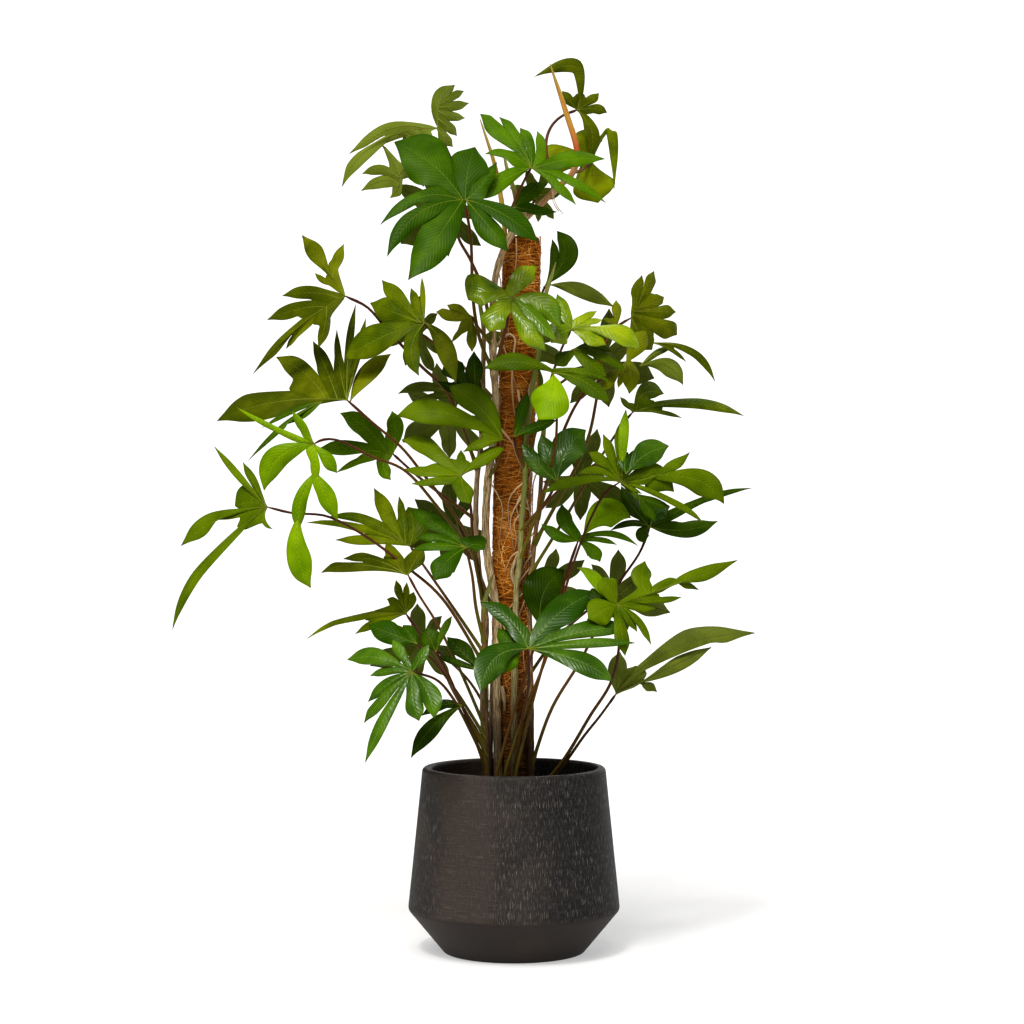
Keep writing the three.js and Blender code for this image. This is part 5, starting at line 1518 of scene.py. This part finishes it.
@dataclass
class ClimbingStem:
    """A stem with its rings, leaf stalks, blades, rolled new leaves and clinging roots."""

    spec: Stem
    rng: np.random.Generator

    STEM_STEPS = 210
    STEM_SIDES = 20
    STALK_STEPS = 36
    STALK_SIDES = 9
    TAPER = 0.35
    RING_SPACING = 34.0
    ROLL_STEPS = 60
    ROLL_SIDES = 24
    ROOT_STEPS = 10
    ROOT_SIDES = 7
    CLINGS_WITHIN = 36.0
    CLINGS_FROM = 330.0
    CLINGS_UP_TO = 880.0

    def __post_init__(self) -> None:
        """Works out the stem's middle line."""
        route = np.array(self.spec.route, float)
        self.line = SmoothLine(VIEW.spot(route[:, 0], route[:, 1], route[:, 2]))
        self.fine = self.line.at(np.linspace(0.0, 1.0, 401))
        run = np.linalg.norm(np.diff(self.fine, axis=0), axis=1)
        self.run = np.concatenate([[0.0], np.cumsum(run)]) / run.sum()

    @property
    def node(self) -> str:
        """Name of the solid that this stem replaces."""
        return f"leafy_stem_{self.spec.name}"

    def _rooted(self, row: float) -> tuple[Array, float]:
        """The point of the stem at a row of the picture, and its share of the length."""
        height = VIEW.eye_height + (VIEW.horizon_pixel - row) * VIEW.mm_per_pixel
        best = int(np.argmin(np.abs(self.fine[:, 2] - height)))
        return self.fine[best], float(self.run[best])

    def _stalk_path(self, leaf: Leaf) -> Array:
        """Points from the blade's junction to the stem, at even steps.

        The depths of the spots on the way ease from the leaf's to the root's by u^2 (3 - 2u), where
        a spot gives none of its own.
        """
        root, _ = self._rooted(leaf.root)
        sign = -1.0 if leaf.back else 1.0
        points = [VIEW.spot(leaf.at[0], leaf.at[1], leaf.depth, leaf.back)]
        for k, (x, y, *given) in enumerate(leaf.stalk):
            part = smooth(np.array((k + 1) / (len(leaf.stalk) + 1)), 0.0, 1.0)
            depth = leaf.depth + (sign * root[1] - leaf.depth) * part
            points.append(VIEW.spot(x, y, np.array(given[0] if given else depth, float), leaf.back))
        points.append(root)
        return SmoothLine(np.array(points)).even(np.linspace(0.0, 1.0, self.STALK_STEPS))

    def _add(self, piece: bpy.types.Object) -> None:
        """Declares a finished piece in the stem's place."""
        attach(piece, "root")
        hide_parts(self.node)

    def _stalks(self) -> Draft:
        """Leaf stalks: a swelling below the blade, slim in the middle, and a flared base on the stem.

        The radius in millimetres grows from 0.7 to 1.4 at once and then by 0.9 s; the swelling adds
        0.35 and the flare 1.5.
        """
        draft = Draft()
        paths = np.array([self._stalk_path(leaf) for leaf in self.spec.leaves if leaf.root])
        s = np.linspace(0.0, 1.0, self.STALK_STEPS)
        radius = 0.7 + 0.7 * smooth(s, 0.0, 0.03) + 0.9 * s + 0.35 * np.exp(-((s - 0.05) / 0.03) ** 2)
        radius = radius + 1.5 * smooth(s, 0.93, 1.0)
        radii = radius[None] * self.rng.uniform(0.92, 1.12, (len(paths), 1))
        bars_into(draft, paths, radii, self.STALK_SIDES, self.rng.random((len(paths), 2)))
        return draft

    def _stem(self) -> Draft:
        """The stem: tapering, with rings where leaves grow or once grew.

        At d millimetres from a ring the radius grows by 0.14 exp(-(d / 5)^2) - 0.1 exp(-(d / 1.1)^2)
        of itself, so that a ring is a groove on a swelling.
        """
        draft = Draft()
        s = np.linspace(0.0, 1.0, self.STEM_STEPS)
        path = self.line.even(s)
        length = self.line.length()
        grown = [self._rooted(leaf.root)[1] for leaf in self.spec.leaves if leaf.root]
        old = np.arange(0.04, 0.96, self.RING_SPACING / length)
        old = old + self.rng.uniform(-6.0, 6.0, len(old)) / length
        rings = np.concatenate([grown, old])
        away = (s[:, None] - rings[None]) * length
        swelling = (0.14 * np.exp(-(away / 5.0) ** 2) - 0.1 * np.exp(-(away / 1.1) ** 2)).sum(1)
        angle = np.linspace(0.0, 2 * np.pi, self.STEM_SIDES + 1)
        uneven = 0.05 * np.sin(3 * angle[None] + 7 * s[:, None])
        uneven = uneven + 0.04 * np.sin(5 * angle[None] - 19 * s[:, None])
        radius = self.spec.radius * (1 - self.TAPER * s) * (1 + np.clip(swelling, -0.12, 0.24))
        bars_into(draft, path[None], (radius[:, None] * (1 + uneven))[None], self.STEM_SIDES)
        return draft

    def _rolled(self, sheath: RolledLeaf) -> Draft:
        """A rolled leaf, stepped where its edge winds round.

        Its radius is 0.5 + full * sin(pi (0.25 + 0.75 s))^0.8, a little slimmer at its root.
        """
        draft = Draft()
        route = np.array(sheath.route, float)
        s = np.linspace(0.0, 1.0, self.ROLL_STEPS)
        path = SmoothLine(VIEW.spot(route[:, 0], route[:, 1], route[:, 2])).even(s)
        full = 0.5 + sheath.radius * np.sin(np.pi * (0.25 + 0.75 * s)) ** 0.8
        full = full * (0.72 + 0.28 * smooth(s, 0.0, 0.12))
        turn = np.linspace(0.0, 1.0, self.ROLL_SIDES + 1)
        step = (turn[None] + 0.8 * s[:, None]) % 1.0 - 0.5
        bars_into(draft, path[None], (full[:, None] * (1 + 0.12 * step))[None], self.ROLL_SIDES)
        return draft

    def _clinging(self) -> Draft | None:
        """Aerial roots: from where the stem is near the pole, down along its sleeve.

        They start within CLINGS_WITHIN of the axis, at heights from CLINGS_FROM to CLINGS_UP_TO.
        In cylinder coordinates about the pole the height falls, the angle turns a little with a
        wavering, and the distance settles to the sleeve's surface.
        """
        near = self.fine[np.hypot(self.fine[:, 0] - 1.0, self.fine[:, 1]) < self.CLINGS_WITHIN]
        near = near[(near[:, 2] > self.CLINGS_FROM) & (near[:, 2] < self.CLINGS_UP_TO)]
        if len(near) < 8:
            return None
        rng, count = self.rng, max(5, len(near) // 16)
        start = near[np.sort(rng.integers(2, len(near) - 2, count))]
        axis = POLE.middle(start[:, 2])
        away = start - axis
        angle, reach = np.arctan2(away[:, 1], away[:, 0]), np.hypot(away[:, 0], away[:, 1])
        s = np.linspace(0.0, 1.0, self.ROOT_STEPS)
        swing = rng.normal(0.0, 0.45, count)
        fall = rng.uniform(18.0, 105.0, count)
        waver = 0.09 * np.sin(8 * s + 6 * rng.random((count, 1)))
        turn = angle[:, None] + swing[:, None] * smooth(s, 0.0, 0.6) + waver
        height = start[:, 2:] - fall[:, None] * s ** 1.3
        settle = PoleSleeve.RADIUS + 0.9
        out = settle + (reach[:, None] - settle) * (1 - smooth(s, 0.0, 0.5))[None]
        middle = POLE.middle(height)
        path = middle + np.stack([out * np.cos(turn), out * np.sin(turn), 0 * out], -1)
        radius = np.repeat((1.2 - 0.75 * s)[None], count, 0) * rng.uniform(0.7, 1.3, (count, 1))
        draft = Draft()
        bars_into(draft, path, radius, self.ROOT_SIDES, rng.random((count, 2)))
        return draft

    def _placed_roots(self, bark: bool) -> Draft | None:
        """The roots that the photograph shows, each laid on the sleeve.

        With x the distance from the pole's middle line, the depth is sqrt(R^2 - x^2), kept above 4 mm,
        plus the root's radius and its distance off the sleeve.
        """
        chosen = [root for root in self.spec.roots if root.bark is bark]
        draft = Draft()
        s = np.linspace(0.0, 1.0, 3 * self.ROOT_STEPS)
        for root in chosen:
            route = np.array([(*spot, 0.0)[:3] for spot in root.route], float)
            flat = VIEW.spot(route[:, 0], route[:, 1], 0.0 * route[:, 2] - PoleSleeve.RADIUS)
            across = flat[:, 0] - POLE.middle(flat[:, 2])[:, 0]
            depth = np.sqrt(np.maximum(PoleSleeve.RADIUS ** 2 - across ** 2, 16.0))
            depth = -(depth + 0.6 * root.radius + route[:, 2])
            path = SmoothLine(VIEW.spot(route[:, 0], route[:, 1], depth)).even(s)
            radius = root.radius * (1.0 - 0.3 * s + 0.12 * np.sin(9 * s + root.radius))
            bars_into(draft, path[None], radius[None], 9, self.rng.random((1, 2)))
        return draft if chosen else None

    def build(self) -> None:
        """Makes the pieces: blades by their look, stalks with midribs, stem, rolled leaves and roots."""
        stalks = self._stalks()
        sheets: dict[Look, Draft] = {}
        for leaf in self.spec.leaves:
            Blade(leaf, self.rng).into(sheets.setdefault(leaf.look, Draft()), stalks)
        name = self.spec.name
        for look, draft in sheets.items():
            finishes = [UPPER_FACES[look].make(), UNDERSIDE.make()]
            finishes = finishes[::-1] if look is Look.TURNED else finishes
            self._add(draft.build(f"{name}_leaves_{look.value}", finishes, blade=True))
        self._add(stalks.build(f"{name}_stalks", [STALK.make(), RIB.make()]))
        self._add(self._stem().build(f"{name}_stem", [BARKS[self.spec.bark].make()]))
        for number, sheath in enumerate(self.spec.sheaths):
            skin = SHEATHS[sheath.finish].make()
            self._add(self._rolled(sheath).build(f"{name}_new_leaf_{number + 1}", [skin]))
        sorts = (("roots", self._clinging(), ROOT), ("pale_roots", self._placed_roots(False), ROOT),
                 ("thick_roots", self._placed_roots(True), BARKS["grey"]))
        for title, roots, finish in sorts:
            if roots:
                self._add(roots.build(f"{name}_{title}", [finish.make()]))


@dataclass(frozen=True)
class PoleLine:
    """The pole's middle line: off to the right by 2.5 mm, bowed left by 6 mm, its top leaning right."""

    offset: float = 2.5
    bow: float = 6.0
    bow_start: float = 150.0
    bow_end: float = 710.0
    lean: float = 7.0
    lean_start: float = 560.0
    lean_end: float = 900.0

    def middle(self, height: Array) -> Array:
        """Points of the line at heights."""
        share = np.clip((height - self.bow_start) / (self.bow_end - self.bow_start), 0.0, 1.0)
        lean = self.lean * smooth(height, self.lean_start, self.lean_end)
        across = self.offset - self.bow * np.sin(np.pi * share) + lean
        return np.stack([across, np.zeros_like(across), np.asarray(height, float)], -1)


POLE = PoleLine()


@dataclass
class PoleSleeve:
    """The coir sleeve: a rough core and thousands of frayed strands wound round it."""

    rng: np.random.Generator

    RADIUS = 24.5
    FOOT = 150.0
    TOP = 890.0
    CORE_SIDES = 48
    STRANDS = 5200
    STRAND_STEPS = 6

    def _core(self) -> Draft:
        """A rough cylinder, its radius waved by noise in angle and height, with a domed top."""
        draft = Draft()
        s = np.linspace(0.0, 1.0, 150)
        height = self.FOOT + (self.TOP - self.FOOT) * s
        angle = np.linspace(0.0, 2 * np.pi, self.CORE_SIDES + 1)
        rough = 0.35 * np.sin(4 * angle[None] + height[:, None] / 9.0)
        rough = rough + 0.3 * np.sin(7 * angle[None] - height[:, None] / 5.0)
        rough = rough + 0.25 * np.sin(11 * angle[None] + height[:, None] / 3.1)
        radius = self.RADIUS - 1.2 + rough - 1.5 * smooth(s, 0.992, 1.0)[:, None]
        bars_into(draft, POLE.middle(height)[None], radius[None], self.CORE_SIDES)
        return draft

    def _strands(self) -> Draft:
        """Strands lying mostly round the pole: angle and height run on from a random start.

        Strand: angle = a0 + turn * u, height = h0 + rise * u + a small wave, distance from the
        middle = surface + a lift that grows as u^2 on the loose ones. One in nine lies lengthwise.
        """
        draft, rng, count = Draft(), self.rng, self.STRANDS
        u = np.linspace(0.0, 1.0, self.STRAND_STEPS)[None]
        start = rng.uniform(0.0, 2 * np.pi, (count, 1))
        lengthwise = rng.random((count, 1)) < 0.11
        length = rng.uniform(9.0, 40.0, (count, 1))
        slope = np.where(lengthwise, rng.uniform(1.1, 1.5, (count, 1)), rng.normal(0.0, 0.28, (count, 1)))
        way = np.where(rng.random((count, 1)) < 0.5, -1.0, 1.0)
        turn = way * length * np.cos(slope) / self.RADIUS
        rise = length * np.sin(slope)
        low = rng.uniform(self.FOOT + 3.0, self.TOP - 1.5, (count, 1))
        wave = 2 * np.pi * u * rng.uniform(0.5, 1.6, (count, 1)) + rng.uniform(0, 6.28, (count, 1))
        height = np.clip(low + rise * u + 0.7 * np.sin(wave), self.FOOT + 1.0, self.TOP + 1.6)
        loose = np.where(rng.random((count, 1)) < 0.3, rng.uniform(0.8, 3.6, (count, 1)), 0.15)
        out = self.RADIUS - 0.8 + rng.uniform(-0.3, 0.6, (count, 1)) + loose * u ** 2
        angle = start + turn * u
        path = POLE.middle(height) + np.stack([out * np.cos(angle), out * np.sin(angle), 0 * out], -1)
        radius = rng.uniform(0.16, 0.42, (count, 1)) * (1.0 - 0.55 * u ** 3)
        bars_into(draft, path, radius, 3, rng.random((count, 2)))
        return draft

    def build(self) -> None:
        """Makes the core and the strands."""
        dark, warm, pale = paint(104, 56, 12), paint(202, 126, 38), paint(240, 188, 106)
        mat = CoirFinish("coir_mat", paint(90, 51, 13), paint(172, 104, 31), pale, False)
        core = self._core().build("coir_core", [mat.make()])
        strand = CoirFinish("coir_strand", dark, warm, pale, True)
        strands = self._strands().build("coir_strands", [strand.make()])
        for piece in (core, strands):
            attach(piece, "root")
            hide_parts("coir_sleeve")


@dataclass
class PoleStake:
    """The bare stake that the sleeve is wound on, seen at the top."""

    radius: float = 6.0
    foot: float = 52.0
    top: float = 938.0
    sides: int = 24

    def build(self) -> None:
        """Makes the stake, its end worn round."""
        draft = Draft()
        s = np.linspace(0.0, 1.0, 90)
        height = self.foot + (self.top - self.foot) * s
        worn = 1.0 - 0.3 * smooth(height, self.top - 3.0, self.top)
        angle = np.linspace(0.0, 2 * np.pi, self.sides + 1)
        uneven = 1.0 + 0.03 * np.sin(2 * angle[None] + height[:, None] / 90.0)
        radius = (self.radius * worn)[:, None] * uneven
        bars_into(draft, POLE.middle(height)[None], radius[None], self.sides)
        wood = WoodFinish("stake_wood", paint(214, 192, 146), paint(160, 130, 86))
        piece = draft.build("pole_stake_bar", [wood.make()])
        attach(piece, "root")
        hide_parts("pole_stake")


@dataclass(frozen=True)
class Turned:
    """A turned body: a profile of (radius, height) corners, each rounded, swept round the axis."""

    corners: tuple[tuple[float, float], ...]
    rounding: tuple[float, ...]
    sides: int = 144
    arc_steps: int = 5
    longest_step: float = 5.5

    def profile(self) -> Array:
        """The corners with each rounded by a quadratic curve, and long stretches divided."""
        points = [np.array(self.corners[0], float)]
        for k in range(1, len(self.corners) - 1):
            before, here, after = (np.array(self.corners[k + j], float) for j in (-1, 0, 1))
            cut = self.rounding[k]
            start = here + unit(before - here) * min(cut, 0.45 * np.linalg.norm(before - here))
            end = here + unit(after - here) * min(cut, 0.45 * np.linalg.norm(after - here))
            u = np.linspace(0.0, 1.0, self.arc_steps + 1)[:, None] if cut > 0 else np.array([[0.5]])
            points.extend((1 - u) ** 2 * start + 2 * u * (1 - u) * here + u * u * end)
        points.append(np.array(self.corners[-1], float))
        divided = [points[0]]
        for start, end in zip(points, points[1:]):
            count = max(1, int(np.ceil(np.linalg.norm(end - start) / self.longest_step)))
            divided.extend(start + (end - start) * (j + 1) / count for j in range(count))
        return np.array(divided)

    def draft(self, lift: Array | None = None) -> Draft:
        """Sweeps the profile, turned so that faces look out.

        Args:
            lift: Extra height of each point, as profile points by sides + 1.

        Returns:
            A draft with the way round and the height as its pattern, in metres.
        """
        profile = self.profile()
        angle = np.linspace(0.0, 2 * np.pi, self.sides + 1)
        radius, height = profile[:, 0][:, None], profile[:, 1][:, None] + 0 * angle[None]
        height = height if lift is None else height + lift
        points = np.stack([radius * np.cos(angle), radius * np.sin(angle), height], -1)
        widest = profile[:, 0].max()
        pattern = np.stack([np.broadcast_to(angle * widest, height.shape), height], -1) * METRES
        share = np.broadcast_to(np.linspace(0, 1, len(profile))[:, None], height.shape)
        growth = np.stack([share, np.broadcast_to(angle / (2 * np.pi), height.shape)], -1)
        draft = Draft()
        draft.add(points, pattern, growth, EVEN_CHANCE[0])
        return draft


@dataclass
class Pot:
    """The flared charcoal pot with its chamfered foot."""

    SHOULDER = 54.0
    CORNERS = (
        (0, 0), (88, 0), (131.2, 52), (132, 55), (114.6, 226), (112, 229), (105, 229), (103, 226),
        (121, 56), (84, 14), (0, 14),
    )
    ROUNDING = (0.0, 1.6, 2.4, 2.4, 1.5, 1.5, 1.2, 1.4, 6.0, 4.0, 0.0)

    def build(self) -> None:
        """Makes the pot."""
        # The third colour serves the warm patches and the painted reflection band, and the fourth the
        # painted shade on the right side.
        finish = PotFinish(
            "pot_clay", paint(30, 27, 25), paint(42, 38, 36), paint(64, 54, 47), paint(14, 15, 18),
            paint(134, 128, 122), self.SHOULDER * METRES,
        )
        piece = Turned(self.CORNERS, self.ROUNDING).draft().build("planter", [finish.make()])
        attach(piece, "root")
        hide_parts("pot")


@dataclass
class Soil:
    """Potting mix up to below the rim, lumpy on top and strewn with crumbs."""

    rng: np.random.Generator

    CORNERS = ((0, 14.3), (83.5, 14.3), (120.5, 56), (105.9, 195), (104, 196.2), (63.5, 200), (0, 201))
    ROUNDING = (0.0,) * len(CORNERS)
    CRUMBS = 765
    SIDES = 120

    def _surface(self, x: Array, y: Array) -> Array:
        """Height of the lumps at a place: a few crossed waves of different lengths."""
        lumps = np.sin(x / 7.0 + 1.0) * np.sin(y / 6.0)
        lumps = lumps + 0.7 * np.sin(x / 3.1) * np.sin(y / 3.7 + 2.0)
        return lumps + 0.5 * np.sin(x / 1.7 + y / 2.3) * np.sin(y / 1.9)

    def _bed(self) -> Draft:
        """The turned body with its top waved."""
        turned = Turned(self.CORNERS, self.ROUNDING, self.SIDES, 1, 2.2)
        profile = turned.profile()
        angle = np.linspace(0.0, 2 * np.pi, self.SIDES + 1)
        x, y = profile[:, :1] * np.cos(angle), profile[:, :1] * np.sin(angle)
        top = smooth(profile[:, 1], 195.0, 196.2)
        return turned.draft(self._surface(x, y) * top[:, None])

    def _crumbs(self) -> Draft:
        """Few-faced lumps: short bars of three steps, thick in the middle, each turned its own way."""
        draft, rng, count = Draft(), self.rng, self.CRUMBS
        reach, angle = 101.0 * np.sqrt(rng.uniform(0.0, 1.0, count)), rng.uniform(0.0, 2 * np.pi, count)
        x, y = reach * np.cos(angle), reach * np.sin(angle)
        clear = np.hypot(x - 2.5, y) > PoleSleeve.RADIUS + 2.0
        x, y, reach = x[clear], y[clear], reach[clear]
        count = len(x)
        size = rng.uniform(0.9, 3.6, count) ** 1.1
        height = 201.0 - 0.045 * reach + self._surface(x, y) + size * 0.2
        heading = unit(rng.normal(0.0, 1.0, (count, 3)) * np.array((1.0, 1.0, 0.4)))
        s = np.linspace(-1.0, 1.0, 4)
        middle = np.stack([x, y, height], -1)[:, None]
        path = middle + heading[:, None] * (s[None, :, None] * size[:, None, None])
        radius = size[:, None] * np.array((0.45, 0.85, 0.8, 0.4)) * rng.uniform(0.8, 1.15, (count, 4))
        bars_into(draft, path, radius, 6, rng.random((count, 2)))
        return draft

    def build(self) -> None:
        """Makes the bed and the crumbs."""
        shades = (paint(38, 26, 18), paint(78, 54, 34), paint(140, 106, 70))
        bed = self._bed().build("soil_bed", [SoilFinish("soil_mix", *shades).make()])
        crumbs = self._crumbs().build("soil_crumbs", [SoilFinish("soil_crumb", *shades).make()])
        for piece in (bed, crumbs):
            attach(piece, "root")
            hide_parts("soil")


@dataclass(frozen=True)
class Sun:
    """A distant light. Its angles are in degrees.

    spread is the angle that it fills, tilt how far down from overhead it stands, and turn how far
    round from the front, to the right.
    """

    name: str
    strength: float
    spread: float
    tilt: float
    turn: float
    colour: Colour

    def shine(self) -> None:
        """Adds the light."""
        light = bpy.data.lights.new(self.name, "SUN")
        light.energy = self.strength
        light.angle = np.radians(self.spread)
        light.color = self.colour
        lamp = bpy.data.objects.new(self.name, light)
        lamp.rotation_euler = (np.radians(self.tilt), 0.0, np.radians(self.turn))
        bpy.context.scene.collection.objects.link(lamp)


@dataclass(frozen=True)
class Studio:
    """The plain white floor and soft lights round the plant."""

    floor_half: float = 30.0
    ambient: float = 0.165
    suns: tuple[Sun, ...] = (
        Sun("key", 3.0, 55.0, 30.0, -26.0, (1.0, 0.985, 0.95)),
        Sun("spark", 1.6, 10.0, 34.0, -20.0, (1.0, 0.985, 0.95)),
        Sun("fill", 0.4, 26.0, 56.0, 44.0, (0.97, 0.98, 1.0)),
        Sun("rear", 1.3, 60.0, 62.0, 158.0, (1.0, 0.99, 0.97)),
    )

    def _floor(self) -> None:
        """A flat white square just under the pot."""
        mesh = bpy.data.meshes.new("floor")
        half = self.floor_half
        corners = [(-half, -half, 0.0), (half, -half, 0.0), (half, half, 0.0), (-half, half, 0.0)]
        mesh.from_pydata(corners, [], [(0, 1, 2, 3)])
        mesh.materials.append(FloorFinish("floor_white", (0.4, 0.4, 0.4)).make())
        floor = bpy.data.objects.new("floor", mesh)
        bpy.context.scene.collection.objects.link(floor)

    def _world(self) -> None:
        """A white surround that lights softly and looks white."""
        world = bpy.data.worlds.new("surround")
        bpy.context.scene.world = world
        world.use_nodes = True
        tree = world.node_tree
        tree.nodes.clear()
        path = tree.nodes.new("ShaderNodeLightPath")
        lit, seen = tree.nodes.new("ShaderNodeBackground"), tree.nodes.new("ShaderNodeBackground")
        lit.inputs["Strength"].default_value = self.ambient
        lit.inputs["Color"].default_value = (1.0, 1.0, 1.0, 1.0)
        seen.inputs["Strength"].default_value = 1.0
        seen.inputs["Color"].default_value = (1.0, 1.0, 1.0, 1.0)
        both, output = tree.nodes.new("ShaderNodeMixShader"), tree.nodes.new("ShaderNodeOutputWorld")
        tree.links.new(path.outputs["Is Camera Ray"], both.inputs[0])
        tree.links.new(lit.outputs[0], both.inputs[1])
        tree.links.new(seen.outputs[0], both.inputs[2])
        tree.links.new(both.outputs[0], output.inputs["Surface"])

    def build(self) -> None:
        """Sets the stage."""
        self._floor()
        self._world()
        for sun in self.suns:
            sun.shine()
        view = bpy.context.scene.view_settings
        view.view_transform = "Standard"
        view.look = "Medium High Contrast"


def main() -> None:
    """Builds the pot, soil, pole, leafy stems and stage in order."""
    logging.basicConfig(level=logging.INFO, format="%(message)s")
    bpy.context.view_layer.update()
    rng = np.random.default_rng(POT_SEED)
    Pot().build()
    Soil(rng).build()
    PoleStake().build()
    PoleSleeve(rng).build()
    for number, spec in enumerate(STEMS):
        ClimbingStem(spec, np.random.default_rng(FIRST_STEM_SEED + number)).build()
    Studio().build()
    VIEW.camera()


if __name__ == "__main__":
    main()
